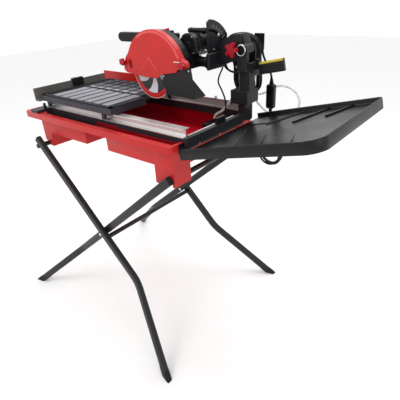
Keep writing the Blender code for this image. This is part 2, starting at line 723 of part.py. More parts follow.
def quadrant(material):
    """The bevel quadrant: a fan-shaped plate with a curved slot that the bevel knob's stem runs in."""
    centre = (BEVEL_AXIS.y, BEVEL_AXIS.z)
    fan = arc(centre, QUADRANT_RADIUS, 36, 84, 14) + [(centre[0] - 0.001, 1.404), (centre[0] - 0.001, 1.29)]
    fan += arc(centre, 0.026, 95, 300, 10) + [(0.205, 1.240)]
    made = extrusion("quadrant", fan, "X", QUADRANT_X[0], QUADRANT_X[1], material)
    slot = arc(centre, SLOT_RADIUS + 0.0045, 39.5, 88.8, 14)
    slot += arc(centre, SLOT_RADIUS - 0.0045, 88.8, 39.5, 14)
    cut(made, extrusion("quadrant_slot", slot, "X", 0.38, 0.42, material))
    hole = turned("quadrant_hole", [(0.0083, 0.38), (0.0083, 0.42)], (0, *centre), "X", material, 16)
    return cut(made, hole)


def guard_outline(inset):
    """The guard's side view. The back is a long low tail; inset draws the hollow inside it."""
    centre, radius = GUARD_CENTRE, GUARD_RADIUS - inset
    outline = arc(centre, radius, 20, 156, 18)
    outline += [(0.045 + inset, 1.280), (0.027 + inset, 1.239)]
    if inset:
        outline += [(0.030 + inset, 1.15), (0.345 - inset, 1.15), (0.345 - inset, 1.28 - inset)]
    else:
        outline += [(0.026, 1.225), (0.043, 1.213), (0.129, 1.206), (0.172, 1.202), (0.241, 1.205)]
        outline += [(0.251, 1.221), (0.341, 1.233), (0.347, 1.247), (0.393, 1.252), (0.395, 1.263)]
        outline += [(0.389, 1.274), (0.375, 1.280)]
    return outline


def head(materials):
    red, black, steel = materials["red_paint"], materials["black_plastic"], materials["steel"]
    mx, mz = MOTOR_CENTRE
    half = GUARD_HALF
    made = extrusion("guard", guard_outline(0.0), "Y", -half, GUARD_SPLIT, red, 0.002)
    cut(made, extrusion("guard_inside", guard_outline(0.004), "Y", -half + 0.003, half, red))

    # the black half of the guard is one casting with the drive housing behind it
    rear_half = arc(GUARD_CENTRE, GUARD_RADIUS - 0.006, 20, 156, 18)
    rear_half += [(0.051, 1.280), (0.033, 1.239), (0.032, 1.225), (0.047, 1.215), (0.129, 1.208), (0.172, 1.204)]
    rear_half += [(0.241, 1.207), (0.251, 1.223), (0.335, 1.235)]
    shell = arc((BLADE_CENTRE.x, BLADE_CENTRE.z), 0.042, 130, 290, 10)
    shell += [(0.343, 1.236), (0.343, 1.291), (0.310, 1.315), (0.290, 1.325), (0.225, 1.325)]
    made = extrusion("drive_housing", rear_half, "Y", GUARD_SPLIT + GAP, half + GAP, black, 0.001)
    cut(made, extrusion("rear_half_inside", guard_outline(0.010), "Y", -half, half - 0.003, black))
    weld(made, extrusion("drive_casting", shell, "Y", half - 0.002, 0.0625, black, 0.002))
    tube = [(0.020, 0.335), (0.020, 0.3875)]
    weld(made, block("gear_box", (0.292, 0.050, 1.234), (0.343, 0.122, 1.253), black))
    weld(made, turned("pivot_tube", tube, (0, BEVEL_AXIS.y, BEVEL_AXIS.z), "X", black, 24))
    weld(made, block("pivot_block", (0.325, 0.050, 1.234), (0.345, 0.125, 1.2770), black))
    centre = (BEVEL_AXIS.y, BEVEL_AXIS.z)
    lug = arc(centre, SLOT_RADIUS + 0.008, 37, 47, 3) + arc(centre, 0.018, 47, 37, 3)
    weld(made, extrusion("bevel_lug", lug, "X", 0.3862, QUADRANT_X[0] - GAP, black))
    cut(
        made,
        turned("housing_arbor_hole", [(0.016, 0.0), (0.016, 0.058)], (BLADE_CENTRE.x, 0, BLADE_CENTRE.z), "Y", red),
    )
    angle = math.radians(KNOB_ANGLE)
    ky, kz = centre[0] + SLOT_RADIUS * math.cos(angle), centre[1] + SLOT_RADIUS * math.sin(angle)
    stem = [(0.0036, QUADRANT_X[0]), (0.0036, QUADRANT_X[1] + GAP), (0.0100, QUADRANT_X[1] + GAP)]
    stem += [(0.0100, QUADRANT_X[1] + 0.004), (0.0070, QUADRANT_X[1] + 0.010)]
    turned("bevel_knob", stem, (0, ky, kz), "X", black, steps=24)

    can = [(0.032, 0.0628), (0.045, 0.0628), (0.045, 0.160), (0.040, 0.170), (0.016, 0.174)]
    turned("motor", can, (mx, 0, mz), "Y", black, steps=32)

    for side, (x, z) in {"front": (0.034, 1.259), "rear": (0.381, 1.264)}.items():
        knob = extrusion(f"guard_knob_{side}", star_outline((x, z), 0.012, 0.016, 5, 4), "Y", -0.051, -0.038, red)
        stem = [(0.006, -0.040), (0.006, -half - GAP)]
        weld(knob, turned(f"guard_knob_{side}_stem", stem, (x, 0, z), "Y", red, 12))

    deflector(black)

    bottom, top = 1.3303, 1.370
    grip = arc((-0.050, 1.350), 0.0198, 90, 270, 6) + [(0.200, bottom), (0.288, bottom), (0.292, top)]
    made = extrusion("handle", grip, "Y", 0.0340, 0.0622, black, 0.004)
    weld(made, block("switch_box", (0.188, 0.0360, 1.360), (0.260, 0.0600, 1.379), black, 0.002))
    cut(made, block("rocker_pocket", (0.2085, 0.0400, 1.374), (0.2395, 0.0560, 1.390), black))
    rocker = [(0.210, 1.3793), (0.238, 1.3793), (0.238, 1.3875), (0.224, 1.3835), (0.210, 1.3835)]
    extrusion("switch_rocker", rocker, "Y", 0.041, 0.055, red)


def deflector(black):
    """A hood under the guard's tail that catches the spray. It's open below and towards the blade."""
    low_left, low_right = (0.262, 1.139), (0.422, 1.135)
    hood = [(0.250, 1.183), (0.268, 1.158), low_left, low_right, (0.354, 1.196), (0.250, 1.196)]
    front_y, back_y = -0.026, 0.048
    made = extrusion("splash_deflector", hood, "Y", front_y, back_y, black)
    inner = [(0.240, 1.120), (0.407, 1.120), (0.3505, 1.192), (0.240, 1.192)]
    cut(made, extrusion("deflector_inside", inner, "Y", front_y + 0.003, back_y - 0.003, black))
    slot = block("deflector_slot", (0.240, -0.010, 1.18), (0.300, 0.010, 1.21), black)
    cut(made, slot)
    tab = [(0.252, 1.190), (0.349, 1.190), (0.338, 1.232), (0.258, 1.226)]
    weld(made, extrusion("deflector_tab", tab, "Y", front_y, front_y + 0.003, black))


def blade(materials):
    x, _, z = BLADE_CENTRE
    made = washer("blade", 0.010, BLADE_RADIUS, -0.0013, 0.0013, (x, 0, z), "Y", materials["blade_core"], steps=64)
    hub = [
        (0.011, -0.012),
        (0.011, -0.005),
        (0.026, -0.005),
        (0.026, -0.0016),
        (0.0097, -0.0016),
        (0.0097, 0.0016),
        (0.026, 0.0016),
        (0.026, 0.008),
        (0.014, 0.010),
        (0.014, 0.056),
    ]
    turned("arbor", hub, (x, 0, z), "Y", materials["steel"], steps=24)
    return made


# ---------------------------------------------------------------- pump, hose and cords


def services(materials):
    black, clear, rubber = materials["black_plastic"], materials["hose_clear"], materials["cord_rubber"]
    made = block("pump", (0.330, 0.120, BASIN_BOTTOM + WALL + GAP), (0.410, 0.195, 0.985), black, 0.004)
    outlet = [(0.006, 0.980), (0.006, 0.9995)]
    weld(made, turned("pump_outlet", outlet, (0.372, 0.160, 0), "Z", black, 16))
    hose = [
        (0.372, 0.160, 1.0035),
        (0.380, 0.163, 1.021),
        (0.403, 0.172, 1.036),
        (0.419, 0.191, 1.056),
        (0.430, 0.222, 1.086),
        (0.440, 0.262, 1.098),
        (0.452, 0.318, 1.085),
        (0.508, 0.360, 1.089),
        (0.549, 0.362, 1.116),
        (0.588, 0.364, 1.128),
        (0.637, 0.364, 1.124),
        (0.672, 0.362, 1.102),
        (0.687, 0.360, 1.075),
        (0.680, 0.356, 1.030),
        (0.640, 0.350, 0.990),
        (0.590, 0.345, 0.985),
        (0.540, 0.340, 1.010),
        (0.500, 0.325, 1.050),
        (0.470, 0.300, 1.120),
        (0.455, 0.262, 1.180),
        (0.448, 0.232, 1.222),
    ]
    hose_along("pump_hose", hose, HOSE_RADIUS, clear)
    pump_lead = [
        (0.404, 0.196, 1.215),
        (0.388, 0.192, 1.195),
        (0.378, 0.190, 1.160),
        (0.397, 0.189, 1.126),
        (0.418, 0.183, 1.090),
        (0.427, 0.174, 1.050),
        (0.418, 0.165, 1.015),
        (0.397, 0.161, 0.996),
    ]
    hose_along("pump_lead", pump_lead, 0.0035, rubber)
    lead = [
        (0.418, 0.196, 1.214),
        (0.436, 0.204, 1.202),
        (0.462, 0.222, 1.196),
        (0.472, 0.236, 1.180),
        (0.461, 0.2385, 1.150),
        (0.452, 0.2385, 1.118),
    ]
    hose_along("power_cord", lead, CORD_RADIUS, rubber)
    # the hank is many turns of cord, kept here as one solid ring of its outside size
    hank = extrusion("cord_hank", stadium((0.4865, 1.2275), 0.0675, 0.1275, 8), "Y", 0.2440, 0.2750, rubber)
    cut(hank, extrusion("cord_hank_eye", stadium((0.4865, 1.2275), 0.0415, 0.1015, 8), "Y", 0.23, 0.29, rubber))
    block("leakage_breaker", (0.545, 0.3115, 1.035), (0.583, 0.3425, 1.140), black, 0.005)
    into_box = [
        (0.500, 0.2815, 1.120),
        (0.520, 0.296, 1.140),
        (0.542, 0.318, 1.166),
        (0.560, 0.327, 1.168),
        (0.566, 0.327, 1.1415),
    ]
    hose_along("breaker_cord", into_box, CORD_RADIUS, rubber)
    down = [
        (0.564, 0.327, 1.0335),
        (0.560, 0.330, 0.990),
        (0.552, 0.338, 0.940),
        (0.545, 0.344, 0.910),
        (0.543, 0.345, 0.888),
    ]
    hose_along("plug_cord", down, CORD_RADIUS, rubber)
    washer("cord_coil", 0.043, 0.062, 0.331, 0.359, (0.572, 0, 0.826), "Y", rubber, steps=28)
    block("plug", (0.600, 0.3335, 0.8925), (0.632, 0.3565, 0.937), black, 0.004)


def stadium(centre, half_width, half_height, steps):
    """A tall outline with round ends: straight sides and half circles."""
    straight = half_height - half_width
    x, z = centre
    if straight <= 0:
        return arc(centre, half_width, 0, 360 - 360 / (4 * steps), 4 * steps - 1)
    return arc((x, z + straight), half_width, 0, 180, steps) + arc((x, z - straight), half_width, 180, 360, steps)


# ---------------------------------------------------------------- putting it together


BODIES = {
    "stand_frame": ((0, 0, 0), ["outer_", "pivot_bolt_"]),
    "inner_frame": ((PIVOT[0], 0, PIVOT[1]), ["inner_"]),
    "drain": ((-0.300, 0.25, 0.957), ["drain_plug"]),
    "sliding_cart": ((0, 0, 0), ["cart_frame", "cart_mat", "fence"]),
    "left_rollers": ((ROLLER_X[0], 0, ROLLER_Z), ["roller_near_left", "roller_far_left"]),
    "right_rollers": ((ROLLER_X[1], 0, ROLLER_Z), ["roller_near_right", "roller_far_right"]),
    "stop": ((-0.433, 0.015, 1.130), ["fence_stop"]),
    "stop_knob": ((-0.445, 0.015, 1.130), ["fence_knob"]),
    "latch": ((-0.3825, -0.2275, 1.0645), ["cart_latch"]),
    "side_tray": (tuple(TRAY_START), ["extension_tray"]),
    "rule": (tuple(RULE_START), ["rip_rule"]),
    "swing_arm": (tuple(ARM_PIVOT), ["arm", "quadrant"]),
    "swing_knob": ((ARM_KNOB[0], 0.140, ARM_KNOB[1]), ["plunge_knob"]),
    "tilting_head": (
        tuple(BEVEL_AXIS),
        ["guard", "drive_housing", "motor", "splash_deflector", "handle"],
    ),
    "rocker": ((0.224, 0.048, 1.3805), ["switch_rocker"]),
    "front_knob": ((0.034, -0.044, 1.259), ["guard_knob_front"]),
    "rear_knob": ((0.381, -0.044, 1.264), ["guard_knob_rear"]),
    "tilt_knob": (
        (
            0.410,
            BEVEL_AXIS.y + SLOT_RADIUS * math.cos(math.radians(KNOB_ANGLE)),
            BEVEL_AXIS.z + SLOT_RADIUS * math.sin(math.radians(KNOB_ANGLE)),
        ),
        ["bevel_knob"],
    ),
    "spindle": (tuple(BLADE_CENTRE), ["blade", "arbor"]),
}
CORDS = ("pump_hose", "pump_lead", "power_cord", "cord_hank", "breaker_cord", "plug_cord", "cord_coil")


def empty(name, place, parent=None):
    made = bpy.data.objects.new(name, None)
    bpy.context.scene.collection.objects.link(made)
    made.location = place
    made.parent = parent
    return made


def whole_length():
    """The lowest and highest X of the saw's solid pieces, before they are moved."""
    places = []
    for item in bpy.data.objects:
        if item.type == "MESH" and not item.hide_render and item.name not in CORDS:
            places += [vertex.co.x for vertex in item.data.vertices]
    return min(places), max(places)


def main():
    for item in list(bpy.data.objects):
        bpy.data.objects.remove(item)
    materials = all_materials()
    for build in (stand, tub, chassis, post, tray, cart, arm, head, blade, services):
        build(materials)
    rule_body("rip_rule", 0.0, materials["aluminium"])

    left, right = whole_length()
    pieces = list(bpy.data.objects)
    root = empty("tile_cutter", (-(left + right) / 2, 0, 0))
    holders = {name: empty(name, place, root) for name, (place, _) in BODIES.items()}
    for item in pieces:
        item.parent = root
        for name, (place, members) in BODIES.items():
            exact = item.name in members
            family = any(m.endswith("_") and item.name.startswith(m) for m in members)
            if (exact or family) and not item.hide_render:
                item.parent = holders[name]
                item.matrix_parent_inverse = Matrix.Translation(-Vector(place))


main()
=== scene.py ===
"""The looks of a wet tile saw on a folding stand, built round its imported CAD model."""

import json
import math

import bmesh
import bpy
from mathutils import Matrix, Vector


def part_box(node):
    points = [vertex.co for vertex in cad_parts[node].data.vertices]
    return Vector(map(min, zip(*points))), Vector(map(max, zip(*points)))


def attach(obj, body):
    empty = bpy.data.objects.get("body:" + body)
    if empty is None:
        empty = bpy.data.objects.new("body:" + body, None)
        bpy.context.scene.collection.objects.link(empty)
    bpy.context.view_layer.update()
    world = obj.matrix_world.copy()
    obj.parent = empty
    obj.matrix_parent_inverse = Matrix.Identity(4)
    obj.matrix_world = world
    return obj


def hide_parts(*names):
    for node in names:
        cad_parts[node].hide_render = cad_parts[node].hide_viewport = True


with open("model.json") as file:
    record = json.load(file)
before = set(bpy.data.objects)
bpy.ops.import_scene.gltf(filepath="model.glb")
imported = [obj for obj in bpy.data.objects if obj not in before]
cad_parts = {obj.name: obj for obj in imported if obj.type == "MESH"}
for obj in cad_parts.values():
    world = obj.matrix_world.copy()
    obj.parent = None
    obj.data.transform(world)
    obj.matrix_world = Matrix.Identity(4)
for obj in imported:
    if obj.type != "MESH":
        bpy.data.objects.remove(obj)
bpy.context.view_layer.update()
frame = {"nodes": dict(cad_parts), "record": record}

# X of the pieces and the camera is measured from the middle of the tub, and SHIFT moves it to the CAD's frame
TUB_LOW, TUB_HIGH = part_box("tub")
SHIFT = Vector(((TUB_LOW.x + TUB_HIGH.x) / 2, 0, 0))


def at(place):
    """A place in the CAD's frame."""
    return Vector(place) + SHIFT


# ---------------------------------------------------------------- camera

LENS_MM = 34.45
SENSOR_MM = 36
CAMERA_PLACE = (1.4231, -1.17705, 1.5124)
CAMERA_RIGHT = Vector((0.7712, 0.6346, -0.0518))
CAMERA_UP = Vector((-0.2694, 0.3990, 0.8768))


def make_camera():
    data = bpy.data.cameras.new("camera")
    data.lens = LENS_MM
    data.sensor_width = SENSOR_MM
    camera = bpy.data.objects.new("camera", data)
    bpy.context.scene.collection.objects.link(camera)
    turn = Matrix((CAMERA_RIGHT, CAMERA_UP, CAMERA_RIGHT.cross(CAMERA_UP))).transposed()
    camera.matrix_world = Matrix.Translation(at(CAMERA_PLACE)) @ turn.to_4x4()
    bpy.context.scene.camera = camera


make_camera()

# ---------------------------------------------------------------- materials


class Nodes:
    """A material's node tree being built. An input named i and a number is the socket at that place."""

    def __init__(self, name):
        self.material = bpy.data.materials.new(name)
        self.material.use_nodes = True
        self.tree = self.material.node_tree
        self.shader = next(n for n in self.tree.nodes if n.type == "BSDF_PRINCIPLED")

    def add(self, kind, settings=None, **inputs):
        node = self.tree.nodes.new("ShaderNode" + kind)
        for key, value in (settings or {}).items():
            setattr(node, key, value)
        for key, value in inputs.items():
            numbered = key[0] == "i" and key[1:].isdigit()
            self.feed(node.inputs[int(key[1:]) if numbered else key], value)
        return node

    def feed(self, socket, value):
        if isinstance(value, bpy.types.NodeSocket):
            self.tree.links.new(value, socket)
        else:
            socket.default_value = value

    def math(self, operation, first, second=0.0):
        node = self.add("Math", {"operation": operation}, i0=first, i1=second)
        return node.outputs[0]

    def place(self, stretch=(1, 1, 1)):
        where = self.add("TexCoord").outputs["Object"]
        if stretch == (1, 1, 1):
            return where
        return self.add("Mapping", Vector=where, Scale=stretch).outputs[0]

    def noise(self, scale, detail, stretch=(1, 1, 1)):
        made = self.add("TexNoise", Vector=self.place(stretch), Scale=scale, Detail=detail, Roughness=0.55)
        return made.outputs[0]

    def between(self, factor, low, high, start=0.0, end=1.0):
        """factor's range start to end, spread over low to high."""
        made = self.add("MapRange", i0=factor, i1=start, i2=end, i3=low, i4=high)
        return made.outputs[0]

    def mix(self, factor, first, second):
        made = self.add("Mix", {"data_type": "RGBA"}, i0=factor, i6=first, i7=second)
        return made.outputs[2]

    def patches(self, scale):
        """Slow blotches from 0 to 1, for colour and gloss to follow."""
        return self.between(self.noise(scale, 4.0), 0.0, 1.0, 0.32, 0.68)

    def dress(self, colour, gloss, bump, depth, height):
        """Joins the colour, the roughness and the bump to the shader."""
        self.feed(self.shader.inputs["Base Color"], colour)
        self.feed(self.shader.inputs["Roughness"], gloss)
        raised = self.add("Bump", Strength=bump, Distance=depth, Height=height)
        self.feed(self.shader.inputs["Normal"], raised.outputs[0])


def shade(colour, amount):
    return (*[min(1.0, part * amount) for part in colour], 1.0)


def surface(name, colour, rough, metal=0.0, vary=0.08, rough_vary=0.08, blotch=9.0, grain=900.0,
            bump=0.10, depth=0.0004, stretch=(1, 1, 1), coat=0.0, specular=0.5):
    """A material with slow changes of colour, changes of gloss and a fine grain."""
    make = Nodes(name)
    slow = make.patches(blotch)
    fine = make.noise(grain, 2.0, stretch)
    gloss = make.math("ADD", make.between(slow, rough - rough_vary, rough + rough_vary),
                      make.between(fine, -0.04, 0.04, 0.3, 0.7))
    colours = make.mix(slow, shade(colour, 1 - vary), shade(colour, 1 + vary))
    make.dress(colours, gloss, bump, depth, fine)
    make.shader.inputs["Metallic"].default_value = metal
    make.shader.inputs["Specular IOR Level"].default_value = specular
    make.shader.inputs["Coat Weight"].default_value = coat
    make.shader.inputs["Coat Roughness"].default_value = 0.12
    return make.material


RED = (0.46, 0.012, 0.011)
MATERIALS = {
    "red_plastic": surface("moulded_red", RED, 0.34, bump=0.12, grain=700, specular=0.30),
    # a darker copy of the red for the tub's shaded inner wall: painted shade
    "red_painted_shade": surface("moulded_red_painted_shade", (0.24, 0.003, 0.008), 0.30, vary=0.14, blotch=5, specular=0.35),
    "red_paint": surface("red_paint", (0.50, 0.016, 0.014), 0.30, vary=0.05, bump=0.06, grain=500,
                         coat=0.15, specular=0.25),
    # a lighter copy of the red for the guard's emboss and rim band: painted highlight
    "red_painted_highlight": surface("red_painted_highlight", (0.66, 0.060, 0.052), 0.26, vary=0.04, bump=0.06, grain=500, coat=0.2),
    # dark red for the guard's finger recess: painted shade
    "red_recess_painted_shade": surface("red_recess_painted_shade", (0.19, 0.0016, 0.004), 0.40, vary=0.10, specular=0.12),
    "red_knob": surface("red_knob", (0.36, 0.004, 0.016), 0.30, vary=0.06, specular=0.35),
    "black_plastic": surface("satin_black", (0.0050, 0.0050, 0.0058), 0.38, grain=1100, bump=0.18,
                             specular=0.22),
    "gloss_black": surface("gloss_black", (0.0045, 0.0045, 0.0052), 0.24, grain=700, bump=0.05,
                           specular=0.26),
    "tray_plastic": surface("tray_black", (0.0050, 0.0055, 0.0065), 0.34, grain=800, bump=0.25, blotch=4,
                            specular=0.26),
    "deflector": surface("deflector_black", (0.014, 0.014, 0.0145), 0.46, grain=900, bump=0.20,
                         specular=0.22),
    "motor_black": surface("cast_black", (0.0130, 0.0128, 0.0150), 0.34, grain=520, bump=0.30, depth=0.0006,
                           specular=0.26),
    "leg_paint": surface("leg_paint", (0.012, 0.012, 0.0135), 0.36, grain=800, bump=0.14, specular=0.30),
    "chassis_paint": surface("chassis_paint", (0.021, 0.020, 0.025), 0.42, grain=800, bump=0.14,
                             specular=0.25),
    "cart_paint": surface("cart_paint", (0.028, 0.028, 0.036), 0.40, grain=800, bump=0.14, specular=0.28),
    "mat_base": surface("mat_base", (0.010, 0.010, 0.014), 0.60, grain=900, bump=0.30, specular=0.22),
    "mat_rubber": surface("mat_rubber", (0.24, 0.24, 0.265), 0.55, vary=0.12, grain=900, bump=0.35,
                          specular=0.3),
    # darker copies of the same rubber for the rear rows of slats: painted shade
    "mat_shaded": surface("mat_rubber_painted_shade", (0.085, 0.085, 0.10), 0.55, vary=0.12, grain=900, bump=0.35,
                       specular=0.25),
    "mat_deep_shaded": surface("mat_rubber_painted_deep_shade", (0.026, 0.026, 0.032), 0.55, vary=0.12, grain=900, bump=0.35,
                        specular=0.22),
    "fence_paint": surface("fence_paint", (0.090, 0.086, 0.078), 0.46, vary=0.14, grain=700, bump=0.2,
                           specular=0.3),
    "aluminium": surface("brushed_aluminium", (0.74, 0.73, 0.72), 0.34, metal=0.85, vary=0.04,
                         rough_vary=0.05, blotch=3, grain=60, bump=0.03, stretch=(0.1, 6, 6)),
    # a darker, reddish copy of the aluminium for the far rail: painted shade
    "aluminium_in_shade": surface("aluminium_painted_shade", (0.40, 0.35, 0.34), 0.44, metal=0.5, vary=0.08,
                             rough_vary=0.06, blotch=4, grain=60, bump=0.03, stretch=(0.1, 6, 6)),
    "steel": surface("bright_steel", (0.56, 0.55, 0.54), 0.24, metal=1.0, vary=0.06, grain=600, bump=0.08),
    "cord_rubber": surface("cord_rubber", (0.0045, 0.0045, 0.0052), 0.40, grain=1500, bump=0.20,
                           specular=0.24),
    "rule_bar": surface("rule_bar", (0.018, 0.018, 0.021), 0.38, metal=0.4, grain=80, bump=0.1,
                        stretch=(0.1, 6, 6), specular=0.3),
    "yellow": surface("ruler_yellow", (0.72, 0.56, 0.05), 0.40, vary=0.05),
    "pale_grey": surface("pale_grey_plastic", (0.46, 0.47, 0.48), 0.38, grain=900),
    # near black: the rule's printed ticks, and painted shade in holes, slots, vents and grooves
    "black_print_and_shade": surface("black_print_and_painted_shade", (0.0025, 0.0025, 0.0025), 0.60, grain=900, specular=0.15),
}


BLADE_CENTRE = (0.170, 0, 1.2215)
BLADE_RED_FROM = 0.0900
BLADE_RIM_FROM = 0.1116
BLADE_SECTORS = 5.0
BLADE_SECTOR_TWIST = 40.0


def blade_paint():
    """A painted disc: cream rim, red band, then a dark core with pale sectors."""
    make = Nodes("printed_blade")
    middle = at(BLADE_CENTRE)
    split = make.add("SeparateXYZ", Vector=make.place())
    across = make.math("SUBTRACT", split.outputs[0], middle.x)
    upward = make.math("SUBTRACT", split.outputs[2], middle.z)
    radius = make.math("SQRT", make.math("ADD", make.math("MULTIPLY", across, across),
                                         make.math("MULTIPLY", upward, upward)))
    angle = make.math("ARCTAN2", upward, across)
    wave = make.math("SINE", make.math("ADD", make.math("MULTIPLY", angle, BLADE_SECTORS),
                                       make.math("MULTIPLY", radius, BLADE_SECTOR_TWIST)))
    speck = make.noise(90, 3)
    pale = make.between(make.math("ADD", wave, make.math("MULTIPLY", speck, 0.6)), 0, 1, 0.28, 0.34)
    core = make.mix(pale, (0.020, 0.020, 0.024, 1), (0.62, 0.61, 0.66, 1))
    worn = make.between(speck, 0, 1, 0.3, 0.7)
    red = make.mix(worn, (0.42, 0.010, 0.012, 1), (0.58, 0.022, 0.020, 1))
    edge = make.mix(worn, (0.48, 0.40, 0.30, 1), (0.70, 0.62, 0.50, 1))
    banded = make.mix(make.between(radius, 0, 1, BLADE_RED_FROM, BLADE_RED_FROM + 0.0008), core, red)
    rimmed = make.mix(make.between(radius, 0, 1, BLADE_RIM_FROM, BLADE_RIM_FROM + 0.0005), banded, edge)
    gloss = make.between(speck, 0.26, 0.40, 0.3, 0.7)
    make.dress(rimmed, gloss, 0.1, 0.0003, make.noise(900, 2))
    return make.material


MATERIALS["blade"] = blade_paint()


# the box inside the tub where its red is painted a deeper crimson as shade
BASIN_MIDDLE_X = 0.0445
BASIN_HALF_X = 0.4490
BASIN_HALF_Y = 0.2470
BASIN_FLOOR = 0.9325


def tub_red():
    """Bright moulded red outside; inside the basin's outline above its floor, a deeper crimson that is
    painted shade.
    """
    make = Nodes("tub_red")
    slow = make.patches(7.0)
    outside = make.mix(slow, shade(RED, 0.93), shade(RED, 1.06))
    # the basin's inside: a deeper crimson, painted shade
    inside = make.mix(slow, (0.42, 0.0016, 0.012, 1), (0.56, 0.0024, 0.016, 1))
    split = make.add("SeparateXYZ", Vector=make.place())
    along = make.math("ABSOLUTE", make.math("SUBTRACT", split.outputs[0], SHIFT.x + BASIN_MIDDLE_X))
    across = make.math("ABSOLUTE", split.outputs[1])
    basin_shade_mask = make.math("MULTIPLY", make.math("LESS_THAN", along, BASIN_HALF_X),
                       make.math("LESS_THAN", across, BASIN_HALF_Y))
    basin_shade_mask = make.math("MULTIPLY", basin_shade_mask, make.math("GREATER_THAN", split.outputs[2], BASIN_FLOOR))
    colours = make.mix(basin_shade_mask, outside, inside)
    make.dress(colours, make.between(slow, 0.28, 0.42), 0.12, 0.0004, make.noise(700, 2))
    make.shader.inputs["Specular IOR Level"].default_value = 0.30
    return make.material


MATERIALS["tub"] = tub_red()


def clear_tube():
    make = Nodes("clear_tube")
    slow = make.between(make.noise(30, 3), 0, 1, 0.3, 0.7)
    colours = make.mix(slow, (0.80, 0.82, 0.80, 1), (0.93, 0.94, 0.92, 1))
    make.dress(colours, make.between(slow, 0.14, 0.26), 0.1, 0.0004, make.noise(500, 2))
    make.shader.inputs["Transmission Weight"].default_value = 0.55
    make.shader.inputs["IOR"].default_value = 1.40
    return make.material


MATERIALS["hose_clear"] = clear_tube()

# ---------------------------------------------------------------- building pieces


JOIN_DISTANCE = 2e-5
FLAT_ANGLE = 1.0


def link(name, data, material, body):
    """A new object with its material, on the body it moves with."""
    made = bpy.data.objects.new(name, data)
    bpy.context.scene.collection.objects.link(made)
    data.materials.clear()
    data.materials.append(MATERIALS[material])
    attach(made, body)
    return made


def soften(made, width, segments, angle=30):
    """Rounds the edges that turn by more than angle, and shades the rest smooth."""
    if width:
        bevel = made.modifiers.new("rounded_edges", "BEVEL")
        bevel.width = width
        bevel.segments = segments
        bevel.limit_method = "ANGLE"
        bevel.angle_limit = math.radians(angle)
        bevel.harden_normals = True
        bevel.use_clamp_overlap = True
        bevel.miter_outer = "MITER_ARC"
    made.data.polygons.foreach_set("use_smooth", [True] * len(made.data.polygons))
    made.data.set_sharp_from_angle(angle=math.radians(angle))


def clean_copy(node):
    """The CAD node's shape with its split points joined and its flat faces whole."""
    shape = bmesh.new()
    shape.from_mesh(frame["nodes"][node].data)
    bmesh.ops.remove_doubles(shape, verts=shape.verts, dist=JOIN_DISTANCE)
    for edge in shape.edges:
        edge.smooth = True
    bmesh.ops.dissolve_limit(
        shape, angle_limit=math.radians(FLAT_ANGLE), verts=shape.verts, edges=shape.edges,
    )
    return shape


def finish_shape(name, shape, material, body):
    mesh = bpy.data.meshes.new(name)
    bmesh.ops.recalc_face_normals(shape, faces=shape.faces)
    shape.to_mesh(mesh)
    shape.free()
    return link(name, mesh, material, body)


NODE_BODY = {}
for body_name, members in frame["record"]["behaviour"]["bodies"].items():
    for member in members:
        NODE_BODY[member] = body_name
NODE_SLOT = {part["node"]: part["material_slot"] for part in frame["record"]["subparts"]}


def refine(node, width, segments, material):
    """A finished copy of a CAD node, with rounded edges, that stands for it."""
    made = finish_shape(node + "_fine", clean_copy(node), material, NODE_BODY[node])
    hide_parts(node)
    soften(made, width, segments)


def tube_curve(name, points, radius, material):
    """A round tube along the points, on the saw's own body."""
    data = bpy.data.curves.new(name, "CURVE")
    data.dimensions = "3D"
    data.bevel_depth = radius
    data.bevel_resolution = 4
    data.resolution_u = 3
    data.use_fill_caps = True
    spline = data.splines.new("POLY")
    spline.points.add(len(points) - 1)
    for point, place in zip(spline.points, points):
        point.co = (*at(place), 1)
    spline.use_smooth = True
    return link(name, data, material, "saw")


def smooth_route(points, steps=6):
    """Points along a smooth curve through the given ones, with even turns."""
    points = [Vector(point) for point in points]
    ends = [2 * points[0] - points[1], *points, 2 * points[-1] - points[-2]]
    made = []
    for before, start, end, after in zip(ends, ends[1:], ends[2:], ends[3:]):
        gaps = [max((b - a).length ** 0.5, 1e-4) for a, b in ((before, start), (start, end), (end, after))]
        first = (start - before) / gaps[0] - (end - before) / (gaps[0] + gaps[1]) + (end - start) / gaps[1]
        last = (end - start) / gaps[1] - (after - start) / (gaps[1] + gaps[2]) + (after - end) / gaps[2]
        first *= gaps[1]
        last *= gaps[1]
        for step in range(steps):
            t = step / steps
            made.append(
                (2 * t**3 - 3 * t**2 + 1) * start
                + (t**3 - 2 * t**2 + t) * first
                + (3 * t**2 - 2 * t**3) * end
                + (t**3 - t**2) * last
            )
    return [*made, points[-1]]


# ---------------------------------------------------------------- cords

HOSE_RADIUS = 0.0055
CABLE_RADIUS = 0.0035
LEAD_RADIUS = 0.0045
LEAD_STEPS = 4

# each route's places, as its cord runs
HOSE = [
    (0.372, 0.160, 1.0035),
    (0.380, 0.163, 1.021),
    (0.403, 0.172, 1.036),
    (0.419, 0.191, 1.056),
    (0.430, 0.222, 1.086),
    (0.440, 0.262, 1.098),
    (0.452, 0.318, 1.085),
    (0.508, 0.360, 1.089),
    (0.549, 0.362, 1.116),
    (0.588, 0.364, 1.128),
    (0.637, 0.364, 1.124),
    (0.672, 0.362, 1.102),
    (0.687, 0.360, 1.075),
    (0.680, 0.356, 1.030),
    (0.640, 0.350, 0.990),
    (0.590, 0.345, 0.985),
    (0.540, 0.340, 1.010),
    (0.500, 0.325, 1.050),
    (0.470, 0.300, 1.120),
    (0.455, 0.262, 1.180),
    (0.448, 0.232, 1.222),
]
PUMP_LEAD = [
    (0.4060, 0.191, 1.236),
    (0.398, 0.194, 1.214),
    (0.388, 0.192, 1.195),
    (0.378, 0.190, 1.160),
    (0.397, 0.189, 1.126),
    (0.418, 0.183, 1.090),
    (0.427, 0.174, 1.050),
    (0.418, 0.165, 1.015),
    (0.397, 0.161, 0.996),
]
